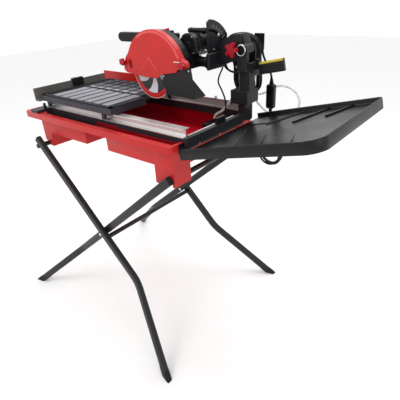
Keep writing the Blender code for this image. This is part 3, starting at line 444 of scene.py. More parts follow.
LEAD = [
    (0.4110, 0.1940, 1.2340),
    (0.4190, 0.1980, 1.2195),
    (0.4320, 0.2030, 1.2085),
    (0.4500, 0.2130, 1.2015),
    (0.4740, 0.2265, 1.1985),
    (0.4993, 0.2380, 1.1945),
    (0.5184, 0.2425, 1.1845),
    (0.5284, 0.2450, 1.1653),
    (0.5268, 0.2470, 1.1467),
]
INTO_BREAKER = [
    (0.5500, 0.274, 1.272),
    (0.5540, 0.290, 1.240),
    (0.5600, 0.312, 1.205),
    (0.5645, 0.325, 1.172),
    (0.565, 0.327, 1.1415),
]
FROM_BREAKER = [
    (0.5640, 0.3270, 1.0335),
    (0.5600, 0.3300, 0.9900),
    (0.5520, 0.3370, 0.9450),
    (0.5395, 0.3450, 0.9050),
    (0.5195, 0.3515, 0.8680),
]
INTO_PLUG = [(0.6125, 0.3405, 0.848), (0.6150, 0.3445, 0.870), (0.6160, 0.3450, 0.8915)]

# the hank: tall loops with round ends, whose tops spread out to the left above the arm. Angles are in turns
# from the bottom. Past HANK_CROSSING of a turn, the cord crosses over to the next one.
HANK_CENTRE = (0.4865, 1.2275)
HANK_STRAIGHT = 0.060
HANK_WHOLE_TURNS = 6.70
HANK_STEPS = 20
HANK_START = -0.06
HANK_CROSSING = 0.7
HANK_SPREAD = 0.060
HANK_NARROW, HANK_SPREAD_RANGE = 0.040, 0.023
HANK_LIFT_FROM, HANK_LIFT_RANGE = 1.215, 0.135
# each turn's half width and its place along Y
HANK_TURNS = [
    (0.0465, 0.2492), (0.0555, 0.2488), (0.0630, 0.2500), (0.0590, 0.2590),
    (0.0500, 0.2592), (0.0545, 0.2690), (0.0625, 0.2702),
]

# the small coil that hangs below the plug: round loops that drift towards the front
COIL_CENTRE = Vector((0.562, 0, 0.814))
COIL_RADII = (0.0565, 0.0520, 0.0555, 0.0500, 0.0500)
COIL_TURNS = 3.54
COIL_STEPS = 58
COIL_START = math.radians(165)
COIL_REAR, COIL_THICK = 0.3535, 0.0165
COIL_SWAY = 0.006


def stadium_point(angle, half, straight, centre):
    """A place on a tall loop with round ends, angle in turns from the bottom, going up its left side."""
    length = 2 * math.pi * half + 4 * straight
    along = (angle % 1.0) * length
    quarter = math.pi * half / 2
    x, z = centre
    if along < quarter:
        turn = along / half
        return (x - half * math.sin(turn), z - straight - half * math.cos(turn))
    along -= quarter
    if along < 2 * straight:
        return (x - half, z - straight + along)
    along -= 2 * straight
    if along < 2 * quarter:
        turn = along / half
        return (x - half * math.cos(turn), z + straight + half * math.sin(turn))
    along -= 2 * quarter
    if along < 2 * straight:
        return (x + half, z + straight - along)
    turn = (along - 2 * straight) / half
    return (x + half * math.cos(turn), z - straight - half * math.sin(turn))


def eased(share):
    """0 to 1 with a soft start and end."""
    return share * share * (3 - 2 * share)


def hank_route():
    """The hank's turns, from the bottom right round to the last turn's right side, heading down."""
    made = []
    for step in range(int(HANK_WHOLE_TURNS * HANK_STEPS) + 1):
        along = step / HANK_STEPS
        turn = int(along)
        here, after = HANK_TURNS[turn], HANK_TURNS[min(turn + 1, len(HANK_TURNS) - 1)]
        ease = eased(max(0.0, (along - turn - HANK_CROSSING) / (1 - HANK_CROSSING)))
        half = here[0] * (1 - ease) + after[0] * ease
        depth = here[1] * (1 - ease) + after[1] * ease
        x, z = stadium_point(along + HANK_START, half, HANK_STRAIGHT, HANK_CENTRE)
        lift = min(1.0, max(0.0, (z - HANK_LIFT_FROM) / HANK_LIFT_RANGE))
        spread = HANK_SPREAD * (half - HANK_NARROW) / HANK_SPREAD_RANGE
        left = (HANK_CENTRE[0] + half - x) / (2 * half)
        made.append((x - spread * left * eased(lift), depth, z))
    return made


def coil_route():
    """The coil's loops, from the lead that comes down to it, to the side where it goes up to the plug."""
    made = []
    for step in range(COIL_STEPS + 1):
        t = COIL_TURNS * step / COIL_STEPS
        angle = COIL_START + 2 * math.pi * t
        index = min(int(t), len(COIL_RADII) - 2)
        radius = COIL_RADII[index] + (COIL_RADII[index + 1] - COIL_RADII[index]) * (t - index)
        depth = COIL_REAR - COIL_THICK * t / COIL_TURNS
        x = COIL_CENTRE.x + COIL_SWAY * math.sin(2.1 * t) + radius * math.cos(angle)
        z = COIL_CENTRE.z + COIL_SWAY * math.cos(1.7 * t) + radius * math.sin(angle)
        made.append((x, depth, z))
    return made


def make_cords():
    hose = tube_curve("water_hose", smooth_route(HOSE), HOSE_RADIUS, "hose_clear")
    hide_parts("pump_hose")
    thin = tube_curve("pump_cable", smooth_route(PUMP_LEAD), CABLE_RADIUS, "cord_rubber")
    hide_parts("pump_lead")
    route = LEAD + hank_route() + INTO_BREAKER
    lead = tube_curve("mains_lead", smooth_route(route, LEAD_STEPS), LEAD_RADIUS, "cord_rubber")
    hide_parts("power_cord", "cord_hank", "breaker_cord")
    route = FROM_BREAKER + coil_route() + INTO_PLUG
    tail = tube_curve("plug_lead", smooth_route(route, LEAD_STEPS), LEAD_RADIUS, "cord_rubber")
    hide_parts("plug_cord", "cord_coil")


make_cords()

# ---------------------------------------------------------------- plain refinements

# for each CAD node, how wide its edges are rounded and in how many strips
ROUNDING = {
    "arbor": (0.0006, 2), "blade": (0.0003, 1), "arm": (0.003, 3), "bevel_knob": (0.0006, 2),
    "cart_frame": (0.0012, 2), "cart_latch": (0.0008, 2), "cart_stop": (0.0015, 2), "chassis": (0.0012, 2),
    "cord_hook": (0.0012, 2), "drain_plug": (0.0010, 2), "drive_housing": (0.004, 3),
    "far_rail": (0.0006, 2), "fence": (0.0006, 2), "fence_knob": (0.001, 2),
    "guard": (0.003, 3), "guard_knob_front": (0.0015, 2),
    "guard_knob_rear": (0.0015, 2), "handle": (0.003, 3), "inner_foot_front": (0.002, 2),
    "inner_foot_rear": (0.002, 2), "inner_leg_front": (0.003, 3), "inner_leg_rear": (0.003, 3),
    "inner_pivot_crossbar": (0.002, 2), "inner_top_crossbar": (0.003, 3), "leakage_breaker": (0.004, 3),
    "motor": (0.003, 3), "near_rail": (0.0006, 2), "outer_cap_front": (0.002, 2),
    "outer_cap_rear": (0.002, 2), "outer_foot_front": (0.002, 2), "outer_foot_rear": (0.002, 2),
    "outer_leg_front": (0.003, 3), "outer_leg_rear": (0.003, 3), "outer_top_crossbar": (0.003, 3),
    "pivot_bolt_front": (0.0008, 2), "pivot_bolt_rear": (0.0008, 2), "plug": (0.003, 3),
    "plunge_knob": (0.002, 3), "post": (0.003, 3), "pump": (0.003, 3), "quadrant": (0.001, 2),
    "roller_far_left": (0.0006, 2), "roller_far_right": (0.0006, 2),
    "roller_near_left": (0.0006, 2), "roller_near_right": (0.0006, 2), "splash_deflector": (0.001, 2),
    "splash_wall": (0.002, 2), "switch_rocker": (0.0008, 2), "tub": (0.003, 3),
}
# the material of each node whose look isn't its slot's own
LOOK = {
    "handle": "gloss_black", "splash_deflector": "deflector",
    "plunge_knob": "red_knob", "guard_knob_front": "red_knob", "guard_knob_rear": "red_knob",
    "tub": "tub", "chassis": "chassis_paint", "far_rail": "aluminium_in_shade", "fence": "fence_paint",
    "blade": "blade", "splash_wall": "red_plastic",
}


def refine_all():
    for node, (width, segments) in ROUNDING.items():
        refine(node, width, segments, LOOK.get(node, NODE_SLOT[node]))


refine_all()

# ---------------------------------------------------------------- shapes for the pieces built here


def add_skin(shape, rings):
    """Faces from each ring of corners to the next, with a flat face over each end."""
    count = len(rings[0])
    for low, high in zip(rings, rings[1:]):
        for i in range(count):
            j = (i + 1) % count
            shape.faces.new((low[i], low[j], high[j], high[i]))
    shape.faces.new(list(reversed(rings[0])))
    shape.faces.new(rings[-1])


def add_prism(shape, outline, start, end, axis="Y"):
    """A solid with the given outline, from start to end along the axis."""
    def corner(point, depth):
        first, second = point
        return {"X": (depth, first, second), "Y": (first, depth, second), "Z": (first, second, depth)}[axis]

    rings = [[shape.verts.new(at(corner(point, depth))) for point in outline] for depth in (start, end)]
    add_skin(shape, rings)


def add_box(shape, low, high):
    outline = [(low[0], low[2]), (high[0], low[2]), (high[0], high[2]), (low[0], high[2])]
    add_prism(shape, outline, low[1], high[1])


def add_turned(shape, profile, centre, axis, steps):
    """A solid of revolution: profile is (radius, place along the axis) pairs from one end to the other."""
    rings = []
    for radius, along in profile:
        ring = []
        for i in range(steps):
            turn = 2 * math.pi * i / steps
            one, two = radius * math.cos(turn), radius * math.sin(turn)
            place = {
                "X": (along, centre[1] + one, centre[2] + two),
                "Y": (centre[0] + one, along, centre[2] + two),
                "Z": (centre[0] + one, centre[1] + two, along),
            }[axis]
            ring.append(shape.verts.new(at(place)))
        rings.append(ring)
    add_skin(shape, rings)


def add_ring(shape, centre, radius, thick, axis, steps, sides):
    """A torus about the axis."""
    rings = []
    for i in range(steps):
        turn = 2 * math.pi * i / steps
        ring = []
        for k in range(sides):
            tilt = 2 * math.pi * k / sides
            out, along = radius + thick * math.cos(tilt), thick * math.sin(tilt)
            one, two = out * math.cos(turn), out * math.sin(turn)
            offset = {"X": (along, one, two), "Y": (one, along, two), "Z": (one, two, along)}[axis]
            ring.append(shape.verts.new(at(centre) + Vector(offset)))
        rings.append(ring)
    for i in range(steps):
        here, there = rings[i], rings[(i + 1) % steps]
        for k in range(sides):
            m = (k + 1) % sides
            shape.faces.new((here[k], there[k], there[m], here[m]))


def bolt_profile(radius, height, start, way):
    """A round-headed screw that stands height proud of start, towards way (1 or -1) along its axis."""
    return [
        (radius, start - way * 0.001),
        (radius, start + way * height * 0.45),
        (radius * 0.86, start + way * height * 0.8),
        (radius * 0.5, start + way * height),
        (radius * 0.42, start + way * height * 0.7),
    ]


def piece(name, build, material, body, width=0.0, segments=2, angle=30):
    shape = bmesh.new()
    build(shape)
    made = finish_shape(name, shape, material, body)
    soften(made, width, segments, angle)
    return made


# ---------------------------------------------------------------- strain reliefs

SLEEVE_RIBS = 6
SLEEVE_SIDES = 20
# along one rib, as shares of its length: where its thick part and then its groove start and end
SLEEVE_RIB = ((0.10, 1.0), (0.62, 1.0), (0.70, 0.84), (0.98, 0.84))
SLEEVE_TIP = 0.82


def add_sleeve(shape, start, end, wide, narrow):
    """A ribbed, tapered sleeve between two places."""
    start, end = Vector(start), Vector(end)
    turn = (end - start).to_track_quat("Z", "Y")
    length = (end - start).length
    profile = [(wide, 0.0)]
    for i in range(SLEEVE_RIBS):
        radius = wide + (narrow - wide) * (i + 0.5) / SLEEVE_RIBS
        profile += [(radius * scale, length * (i + share) / SLEEVE_RIBS) for share, scale in SLEEVE_RIB]
    profile.append((narrow * SLEEVE_TIP, length))
    rings = []
    for radius, height in profile:
        ring = []
        for k in range(SLEEVE_SIDES):
            angle = 2 * math.pi * k / SLEEVE_SIDES
            offset = Vector((radius * math.cos(angle), radius * math.sin(angle), height))
            ring.append(shape.verts.new(at(start + turn @ offset)))
        rings.append(ring)
    add_skin(shape, rings)


def make_strain_reliefs():
    """The sleeves at the start of the mains lead, at both ends of the breaker and at the plug."""
    def lead_ends(shape):
        add_sleeve(shape, LEAD[0], (0.4225, 0.1990, 1.2155), 0.0085, 0.0056)
        add_sleeve(shape, (0.5650, 0.3270, 1.1395), (0.5646, 0.3252, 1.1680), 0.0110, 0.0056)
        add_sleeve(shape, (0.5640, 0.3270, 1.0355), (0.5625, 0.3282, 1.0080), 0.0090, 0.0056)
        add_sleeve(shape, (0.6160, 0.3450, 0.8935), (0.6150, 0.3444, 0.8700), 0.0090, 0.0056)

    piece("strain_reliefs", lead_ends, "cord_rubber", "saw")


make_strain_reliefs()

# ---------------------------------------------------------------- cart mat

MAT_LEFT, MAT_RIGHT = -0.396, 0.129
MAT_FRONT, MAT_REAR = -0.219, 0.196
# the part of the mat beside and behind the blade doesn't reach as far right as the front part
MAT_NARROW_RIGHT, MAT_NARROW_FROM = 0.0665, -0.0235
MAT_SHEET = (1.1058, 1.1064)
MAT_BORDER, MAT_REAR_BORDER = 0.017, 0.004
MAT_BORDER_FOOT = 1.1060
MAT_TOP = 1.1100
SLAT_COUNT, SLAT_FIRST, SLAT_PITCH, SLAT_WIDTH = 7, -0.330, 0.062, 0.046
SLAT_FOOT = 1.1065
# beside and behind the blade, no slat starts further right than this
SLAT_LAST_BEHIND = 0.03
# front and rear edge of each row of slats, from the front
SLAT_ROWS = [(-0.197, -0.0125), (0.0125, 0.036), (0.046, 0.092), (0.102, 0.148), (0.158, 0.190)]
SLOT_SHADOW = ((-0.268, -0.0052, 1.1060), (0.064, 0.0052, 1.1067))


def make_mat():
    def base(shape):
        deck = [(MAT_LEFT, MAT_FRONT), (MAT_RIGHT, MAT_FRONT), (MAT_RIGHT, MAT_NARROW_FROM),
                (MAT_NARROW_RIGHT, MAT_NARROW_FROM), (MAT_NARROW_RIGHT, MAT_REAR), (MAT_LEFT, MAT_REAR)]
        add_prism(shape, deck, *MAT_SHEET, "Z")
        for x0, y0, x1, y1 in (
            (MAT_LEFT, MAT_FRONT, MAT_RIGHT, MAT_FRONT + MAT_BORDER),
            (MAT_LEFT, MAT_FRONT, MAT_LEFT + MAT_BORDER, MAT_REAR),
            (MAT_RIGHT - MAT_BORDER, MAT_FRONT, MAT_RIGHT, MAT_NARROW_FROM),
            (MAT_LEFT, MAT_REAR - MAT_REAR_BORDER, MAT_NARROW_RIGHT, MAT_REAR),
        ):
            add_box(shape, (x0, y0, MAT_BORDER_FOOT), (x1, y1, MAT_TOP))

    made = piece("cart_mat_sheet", base, "mat_base", "cart", 0.0006)
    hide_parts("cart_mat")

    def slats(rows):
        def build(shape):
            for x in [SLAT_FIRST + SLAT_PITCH * i for i in range(SLAT_COUNT)]:
                for low, high in rows:
                    if low < 0 or x <= SLAT_LAST_BEHIND:
                        add_box(shape, (x, low, SLAT_FOOT), (x + SLAT_WIDTH, high, MAT_TOP))

        return build

    # rows further back get darker copies of the rubber, as painted shade
    for name, material, rows in (
        ("cart_mat_slats", "mat_rubber", SLAT_ROWS[:2]),
        ("cart_mat_slats_middle", "mat_shaded", SLAT_ROWS[2:3]),
        ("cart_mat_slats_rear", "mat_deep_shaded", SLAT_ROWS[3:]),
    ):
        piece(name, slats(rows), material, "cart", 0.0012)

    def slot_line(shape):
        add_box(shape, *SLOT_SHADOW)

    piece("cart_slot_shadow", slot_line, "black_print_and_shade", "cart")


make_mat()

# ---------------------------------------------------------------- side tray

TRAY_START = Vector((0.5055, 0.0, 1.011))
TRAY_SLOPE = math.radians(14.4)
TRAY_FLOOR = -0.020
TRAY_INNER_END, TRAY_OUTER_END = 0.012, 0.552
TRAY_FRONT, TRAY_BACK = -0.242, 0.298
TRAY_FRONT_CORNER, TRAY_BACK_CORNER = 0.060, 0.020
# the wall's section, as (inset, height) pairs from the floor up, over the lip and down outside
TRAY_SECTION = [
    (0.0135, TRAY_FLOOR), (0.0100, TRAY_FLOOR + 0.0006), (0.0080, TRAY_FLOOR + 0.0026),
    (0.0074, TRAY_FLOOR + 0.0060), (0.0060, -0.0030), (0.0053, -0.0010), (0.0040, 0.0),
    (0.0020, 0.0), (0.0008, -0.0008), (0.0, -0.0024), (0.0, -0.0385), (0.0010, -0.0400),
    (0.0040, -0.0400), (0.0050, -0.0385), (0.0050, TRAY_FLOOR - 0.0040),
]
# how far a raised patch reaches down into the floor
TRAY_ROOT = 0.0005
# start, end, half width and height of each rib on the floor
TRAY_RIBS = (
    ((0.288, 0.106), (0.350, 0.286), 0.0050, 0.0065),
    ((0.395, 0.154), (0.444, 0.286), 0.0050, 0.0065),
    ((0.162, 0.120), (0.250, 0.286), 0.0035, 0.0040),
    ((0.261, -0.052), (0.305, -0.145), 0.0028, 0.0025),
    ((0.385, -0.075), (0.417, -0.150), 0.0028, 0.0028),
)
TRAY_STEP_HEIGHT = 0.0030


def tray_point(along, across, height):
    """A place on the sloped tray, measured along it from its inner end, across it and up from its lip."""
    tilt = Matrix.Rotation(-TRAY_SLOPE, 3, "Y")
    return TRAY_START + tilt @ Vector((along, across, height))


def arc(centre, radius, start, end, steps):
    """Places round a circle, from start to end in degrees."""
    made = []
    for i in range(steps + 1):
        turn = math.radians(start + (end - start) * i / steps)
        made.append((centre[0] + radius * math.cos(turn), centre[1] + radius * math.sin(turn)))
    return made


def tray_edge(inset):
    """The tray's edge seen from above, from its front inner corner round to its rear inner corner."""
    front, back = TRAY_FRONT + inset, TRAY_BACK - inset
    far = TRAY_OUTER_END - inset
    near, remote = TRAY_FRONT_CORNER - inset, TRAY_BACK_CORNER - inset
    front_corner = arc((far - near, front + near), near, -90, 0, 12)
    back_corner = arc((far - remote, back - remote), remote, 0, 90, 8)
    return [(TRAY_INNER_END, front), *front_corner, *back_corner, (TRAY_INNER_END, back)]


def make_tray():
    """The pan: the section carried round its edge, with the floor, the underside and the inner end closed."""
    def pan(shape):
        lines = []
        for inset, height in TRAY_SECTION:
            lines.append([shape.verts.new(at(tray_point(x, y, height))) for x, y in tray_edge(inset)])
        for low, high in zip(lines, lines[1:]):
            for k in range(len(low) - 1):
                shape.faces.new((low[k], low[k + 1], high[k + 1], high[k]))
        shape.faces.new(lines[0])
        shape.faces.new(list(reversed(lines[-1])))
        shape.faces.new([line[0] for line in lines] + [line[-1] for line in reversed(lines)])

    made = piece("tray_pan", pan, "tray_plastic", "side_tray", angle=38)
    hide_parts("extension_tray")


def add_on_tray(shape, outline, height, shrink):
    """A raised flat patch on the tray's floor, with sloping sides."""
    middle = sum((Vector((*p, 0)) for p in outline), Vector()) / len(outline)
    rings = []
    for z, inward in ((TRAY_FLOOR - TRAY_ROOT, 0.0), (TRAY_FLOOR + height, shrink)):
        ring = []
        for p in outline:
            spot = Vector((*p, 0))
            spot += (middle - spot).normalized() * inward
            ring.append(shape.verts.new(at(tray_point(spot.x, spot.y, z))))
        rings.append(ring)
    add_skin(shape, rings)


def bar_outline(start, end, half):
    """A straight bar with round ends, seen from above."""
    start, end = Vector(start), Vector(end)
    heading = math.atan2(end.y - start.y, end.x - start.x)
    made = []
    for centre, first in ((start, 90), (end, -90)):
        for step in range(7):
            turn = heading + math.radians(first + 30 * step)
            made.append((centre.x + half * math.cos(turn), centre.y + half * math.sin(turn)))
    return made


def add_bar(shape, start, end, half, low, high):
    """A straight bar on a wall that faces -Y, between two (x, z) places."""
    add_prism(shape, bar_outline(start, end, half), low, high)


def make_tray_details():
    def ribs(shape):
        for start, end, half, height in TRAY_RIBS:
            add_on_tray(shape, bar_outline(start, end, half), height, half * 0.25)

    piece("tray_ribs", ribs, "tray_plastic", "side_tray", 0.0012, 3)

    def plateaus(shape):
        near = [(0.018, 0.078), (0.092, 0.076), (0.108, 0.060), (0.214, -0.168), (0.214, -0.232),
                (0.018, -0.232)]
        far = [(0.018, 0.156), (0.120, 0.142), (0.148, 0.140), (0.222, 0.288), (0.018, 0.288)]
        for outline in (near, far):
            add_on_tray(shape, outline, TRAY_STEP_HEIGHT, 0.002)

    piece("tray_steps", plateaus, "tray_plastic", "side_tray", 0.0018, 3)


make_tray()
make_tray_details()

# ---------------------------------------------------------------- head details

GUARD_FRONT = -0.0330
DEFLECTOR_FRONT = -0.0262
# the raised band near the guard's rim: its middle, its section as (radius, depth) pairs, its turns
BAND_MIDDLE = Vector((0.214, 0, 1.228))
BAND_SECTION = ((0.1585, -0.0001), (0.1500, -0.0014), (0.1470, 0.0005))
BAND_START, BAND_SWEEP, BAND_STEPS = 22, 100, 26
# the tilt quadrant: its middle as (y, z), the radius and half width of its slot
QUADRANT_MIDDLE = (0.100, 1.257)
SLOT_RADIUS = 0.118
SLOT_HALF = 0.0075


def make_guard_details():
    # the emboss's bars in lighter red: painted highlight
    def emboss(shape):
        apex, right, left = (0.192, 1.282), (0.236, 1.230), (0.137, 1.228)
        add_bar(shape, apex, right, 0.0022, GUARD_FRONT - 0.0014, GUARD_FRONT + 0.001)
        add_bar(shape, apex, left, 0.0012, GUARD_FRONT - 0.0006, GUARD_FRONT + 0.001)

    piece("guard_emboss", emboss, "red_painted_highlight", "head", 0.0006, 2)

    # a raised band round the guard's rim, in lighter red as painted highlight
    def band(shape):
        for i in range(BAND_STEPS):
            ring = []
            for turn in [math.radians(BAND_START + (i + k) * BAND_SWEEP / BAND_STEPS) for k in (0, 1)]:
                for radius, depth in BAND_SECTION:
                    x = BAND_MIDDLE.x + radius * math.cos(turn)
                    ring.append((x, GUARD_FRONT + depth, BAND_MIDDLE.z + radius * math.sin(turn)))
            corners = [shape.verts.new(at(place)) for place in ring]
            for k in range(2):
                shape.faces.new((corners[k], corners[k + 1], corners[k + 4], corners[k + 3]))
        bmesh.ops.remove_doubles(shape, verts=shape.verts, dist=JOIN_DISTANCE / 2)

    piece("guard_rim_band", band, "red_painted_highlight", "head")

    # the finger recess as a flat dark red patch: painted shade
    def recess_shade(shape):
        outline = [(0.0745 + 0.0108 * math.cos(t), 1.2515 + 0.0205 * math.sin(t))
                   for t in [math.pi * k / 10 for k in range(20)]]
        add_prism(shape, outline, GUARD_FRONT - 0.0004, GUARD_FRONT + 0.0005)

    piece("guard_finger_recess_shade", recess_shade, "red_recess_painted_shade", "head")

    # a bright metal bar along the slot's edge: painted highlight
    def slot_highlight_bar(shape):
        add_bar(shape, (0.3300, 1.2735), (0.3620, 1.2735), 0.0016, GUARD_FRONT - 0.0008, GUARD_FRONT + 0.001)

    piece("guard_slot_highlight", slot_highlight_bar, "aluminium", "head", 0.0005, 2)

    def screws(shape):
        for x, z in ((0.262, 1.2130), (0.4010, 1.2430)):
            add_turned(shape, bolt_profile(0.0042, 0.0022, DEFLECTOR_FRONT, -1), (x, 0, z), "Y", 16)

    piece("guard_screws", screws, "steel", "head")

    def tail_plate(shape):
        outline = [(0.262, 1.194), (0.262, 1.2215), (0.341, 1.2322), (0.347, 1.2462), (0.393, 1.2512),
                   (0.412, 1.2515), (0.416, 1.228), (0.4185, 1.200), (0.4235, 1.150), (0.4215, 1.1365),
                   (0.352, 1.190)]
        add_prism(shape, outline, DEFLECTOR_FRONT, DEFLECTOR_FRONT + 0.003)

    piece("deflector_plate", tail_plate, "deflector", "head", 0.0006, 2)

    # a near-black sheet behind the quadrant's slot: painted shade
    def slot_shade_sheet(shape):
        outer = arc(QUADRANT_MIDDLE, SLOT_RADIUS + SLOT_HALF, 38, 90, 16)
        inner = arc(QUADRANT_MIDDLE, SLOT_RADIUS - SLOT_HALF, 90, 38, 16)
        add_prism(shape, outer + inner, 0.3880, 0.3940, "X")

    piece("quadrant_slot_shade", slot_shade_sheet, "black_print_and_shade", "head")


make_guard_details()

MOTOR_X, MOTOR_Z = 0.325, 1.3225
MOTOR_FACE = 0.0628
MOTOR_VENTS = 12
CAPACITOR_MIDDLE = (0, 0.118, 1.3735)
ARM_FACE = 0.4040


def make_motor_details():
    # flat near-black wedges on the motor's face: painted shade for its vent openings
    def vent_shades(shape):
        for i in range(MOTOR_VENTS):
            turn = 2 * math.pi * i / MOTOR_VENTS + 0.26
            wedge = []
            for radius, spread in ((0.016, 0.10), (0.036, 0.145), (0.036, -0.145), (0.016, -0.10)):
                side = turn + spread
                wedge.append((MOTOR_X + radius * math.cos(side), MOTOR_Z + radius * math.sin(side)))
            add_prism(shape, wedge, MOTOR_FACE - 0.0006, MOTOR_FACE + 0.0005)

    piece("motor_vent_shades", vent_shades, "black_print_and_shade", "head", 0.0003, 1)

    def rings(shape):
        add_ring(shape, (MOTOR_X, MOTOR_FACE + 0.0035, MOTOR_Z), 0.0432, 0.0030, "Y", 48, 10)
        add_ring(shape, (MOTOR_X, MOTOR_FACE - 0.0002, MOTOR_Z), 0.0125, 0.0024, "Y", 32, 8)
        for y in (0.088, 0.112, 0.136, 0.156):
            add_ring(shape, (MOTOR_X, y, MOTOR_Z), 0.0448, 0.0016, "Y", 48, 8)

    piece("motor_rings", rings, "motor_black", "head")

    def studs(shape):
        for turn in (0.9, 2.4, 4.0, 5.5):
            place = (MOTOR_X + 0.0400 * math.cos(turn), 0, MOTOR_Z + 0.0400 * math.sin(turn))
            add_turned(shape, bolt_profile(0.0028, 0.0022, MOTOR_FACE, -1), place, "Y", 12)

    piece("motor_screws", studs, "steel", "head")

    def capacitor(shape):
        profile = [(0.0060, 0.2890), (0.0092, 0.2902), (0.0100, 0.2930), (0.0100, 0.3880), (0.0092, 0.3910),
                   (0.0060, 0.3922)]
        add_turned(shape, profile, CAPACITOR_MIDDLE, "X", 28)

    piece("capacitor", capacitor, "gloss_black", "head")

    def bracket(shape):
        for x in (0.305, 0.368):
            add_ring(shape, (x, *CAPACITOR_MIDDLE[1:]), 0.0104, 0.0012, "X", 28, 8)
            add_box(shape, (x - 0.004, 0.104, 1.3600), (x + 0.004, 0.132, 1.3650))

    piece("capacitor_clips", bracket, "motor_black", "head", 0.0006, 2)


make_motor_details()


def make_arm_details():
    def bolts(shape):
        for y, z, radius, height, steps in (
            (0.133, 1.301, 0.0042, 0.003, 14), (0.134, 1.264, 0.0048, 0.003, 14),
            (0.081, 1.305, 0.0042, 0.003, 14), (0.166, 1.352, 0.0075, 0.004, 18),
            (0.188, 1.336, 0.0055, 0.003, 16),
        ):
            add_turned(shape, bolt_profile(radius, height, ARM_FACE, 1), (0, y, z), "X", steps)

    piece("arm_bolts", bolts, "steel", "arm")

    def marks(shape):
        for step in range(10):
            turn = math.radians(41 + 4.3 * step)
            inner, outer = 0.130, 0.137 if step % 2 else 0.142
            corners = ((inner, 0.004), (outer, 0.004), (outer, -0.004), (inner, -0.004))
            places = [(QUADRANT_MIDDLE[0] + radius * math.cos(turn + side),
                       QUADRANT_MIDDLE[1] + radius * math.sin(turn + side)) for radius, side in corners]
            add_prism(shape, places, ARM_FACE - 0.0002, ARM_FACE + 0.0003, "X")

    piece("bevel_scale", marks, "pale_grey", "arm")


def make_hinge_ring():
    def ring(shape):
        add_ring(shape, (0.528, 0.1435, 1.301), 0.0198, 0.0032, "Y", 48, 12)

    piece("hinge_ring_bright", ring, "steel", "saw")

    # a near-black disc in the hinge's hole: painted shade
    def plug(shape):
        add_turned(shape, [(0.017, 0.1448), (0.017, 0.1432), (0.0155, 0.1424), (0.008, 0.1430)],
                   (0.528, 0, 1.301), "Y", 32)

    piece("hinge_hole_shade", plug, "black_print_and_shade", "saw")

    def plate(shape):
        add_box(shape, (0.5528, 0.205, 1.183), (0.5552, 0.219, 1.197))

    piece("post_label_plate", plate, "pale_grey", "saw", 0.0008, 2)


make_arm_details()
make_hinge_ring()


def make_rail_details():
    def strip(shape):
        add_box(shape, (0.4985, -0.168, 1.0395), (0.5060, 0.128, 1.0448))

    piece("crossbar_strip", strip, "aluminium", "saw", 0.0006, 2)

    # a thin dark red strip below the front beam: the tub's red inner wall with its shade painted in
    def beam_lip_painted_shade(shape):
        for start, end, top in ((-0.020, 0.135, 1.0240), (0.135, 0.465, 1.0185)):
            add_box(shape, (start, -0.1984, 1.0062), (end, -0.1968, top))

    piece("beam_lip_painted_shade", beam_lip_painted_shade, "red_painted_shade", "saw")

    def hinge_strip(shape):
        edge = TUB_HIGH.x - SHIFT.x
        for low, high in ((-0.225, -0.110), (-0.098, 0.018), (0.030, 0.120), (0.126, 0.190)):
            add_box(shape, (edge - 0.0005, low, 0.9900), (edge + 0.0030, high, 1.0268))

    piece("tray_hinge_strip", hinge_strip, "black_plastic", "saw", 0.0006, 2)

    # near-black discs on the far rail: painted shade in its holes
    def hole_shades(shape):
        for x in (0.400, 0.425, 0.470, 0.490):
            add_turned(shape, [(0.0028, 0.2205), (0.0028, 0.2198)], (x, 0, 1.062), "Y", 12)

    piece("far_rail_hole_shades", hole_shades, "black_print_and_shade", "saw")

    def rail_bolt(shape):
        profile = [(0.0040, 1.0700), (0.0040, 1.0780), (0.0072, 1.0782), (0.0072, 1.0840), (0.0050, 1.0880)]
        add_turned(shape, profile, (0.338, 0.2215, 0), "Z", 20)

    piece("far_rail_bolt", rail_bolt, "steel", "saw")


make_rail_details()

RULE_SLOPE = math.radians(12)
RULE_START = Vector((0.5475, 0.2265, 1.235))
TICK_COUNT, TICK_FIRST, TICK_PITCH, TICK_WIDTH = 21, 0.0235, 0.005, 0.0008
TICK_LONG, TICK_SHORT = 0.006, 0.0035


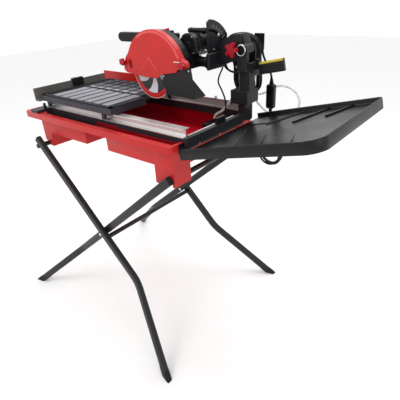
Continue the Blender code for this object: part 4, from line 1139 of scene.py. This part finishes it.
def make_rule_details():
    """The rule's bar, tape, ticks and the painted shade of its grooves, measured along, across and up from
    RULE_START.
    """
    slope = Matrix.Rotation(-RULE_SLOPE, 3, "Y")

    def on_rule(along, across, up):
        return RULE_START + slope @ Vector((along, across, up))

    def add_slab(shape, low, high):
        corners = []
        for x in (low[0], high[0]):
            for y in (low[1], high[1]):
                for z in (low[2], high[2]):
                    corners.append(shape.verts.new(at(on_rule(x, y, z))))
        for face in ((0, 1, 3, 2), (4, 6, 7, 5), (0, 4, 5, 1), (2, 3, 7, 6), (0, 2, 6, 4), (1, 5, 7, 3)):
            shape.faces.new([corners[k] for k in face])

    def bar(shape):
        add_slab(shape, (-0.075, -0.0078, -0.0168), (0.022, 0.0078, 0.0168))
        add_slab(shape, (0.020, -0.0080, -0.0400), (0.1280, 0.0080, 0.0080))

    made = piece("rule_bar", bar, "rule_bar", "rule", 0.0008, 2)
    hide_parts("rip_rule")

    def tape(shape):
        add_slab(shape, (0.020, -0.0086, 0.0000), (0.1275, 0.0078, 0.0086))

    piece("rule_tape", tape, "yellow", "rule")

    def ticks(shape):
        for step in range(TICK_COUNT):
            long = TICK_LONG if step % 5 == 0 else TICK_SHORT
            place = TICK_FIRST + TICK_PITCH * step
            add_slab(shape, (place, -0.0078, 0.0082), (place + TICK_WIDTH, -0.0078 + long, 0.0089))
            add_slab(shape, (place, -0.0088, 0.0002), (place + TICK_WIDTH, -0.0080, 0.0002 + long))

    piece("rule_ticks", ticks, "black_print_and_shade", "rule")

    # near-black strips along the rule's side: painted shade in its grooves
    def grooves(shape):
        for up in (-0.033, -0.023, -0.013):
            add_slab(shape, (0.022, -0.0084, up - 0.0009), (0.1275, -0.0078, up + 0.0009))

    piece("rule_groove_shades", grooves, "black_print_and_shade", "rule")


make_rule_details()


def make_fence_stop():
    def clip(shape):
        outline = [(-0.4425, 1.102), (-0.4363, 1.102), (-0.4363, 1.1363), (-0.4297, 1.1363), (-0.4297, 1.102),
                   (-0.4235, 1.102), (-0.4235, 1.1445), (-0.4425, 1.1445)]
        add_prism(shape, outline, -0.018, 0.048)

    made = piece("fence_clip", clip, "black_plastic", NODE_BODY["fence_stop"], 0.0008, 2)
    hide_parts("fence_stop")


make_fence_stop()


def make_handle_details():
    def cover(shape):
        add_box(shape, (0.1600, 0.0375, 1.3795), (0.1860, 0.0585, 1.3830))
        add_box(shape, (0.0900, 0.0400, 1.3700), (0.1700, 0.0560, 1.3745))

    piece("handle_cover", cover, "pale_grey", "head", 0.0015, 3)


make_handle_details()

# ---------------------------------------------------------------- floor and light


FLOOR_HALF = 12
LIGHT_AIM = (0, 0, 0.9)


def make_stage():
    shape = bmesh.new()
    bmesh.ops.create_grid(shape, x_segments=8, y_segments=8, size=FLOOR_HALF)
    mesh = bpy.data.meshes.new("floor")
    shape.to_mesh(mesh)
    shape.free()
    floor = bpy.data.objects.new("floor", mesh)
    bpy.context.scene.collection.objects.link(floor)
    mesh.materials.append(surface("floor", (0.93, 0.93, 0.93), 0.75, vary=0.01, bump=0.02))


def area_light(name, place, size, power):
    data = bpy.data.lights.new(name, "AREA")
    data.size = size
    data.energy = power
    made = bpy.data.objects.new(name, data)
    bpy.context.scene.collection.objects.link(made)
    made.location = place
    made.rotation_euler = (Vector(LIGHT_AIM) - Vector(place)).to_track_quat("-Z", "Y").to_euler()


def light_scene():
    world = bpy.data.worlds.new("studio")
    bpy.context.scene.world = world
    world.use_nodes = True
    background = next(n for n in world.node_tree.nodes if n.type == "BACKGROUND")
    background.inputs["Color"].default_value = (1, 1, 1, 1)
    background.inputs["Strength"].default_value = 1.0
    area_light("key", (-1.0, -2.4, 3.4), 1.6, 34)
    area_light("top", (0.3, 0.9, 3.2), 2.0, 30)
    area_light("right", (3.0, -0.6, 2.0), 1.6, 10)
    bpy.context.scene.view_settings.view_transform = "Standard"


make_stage()
light_scene()
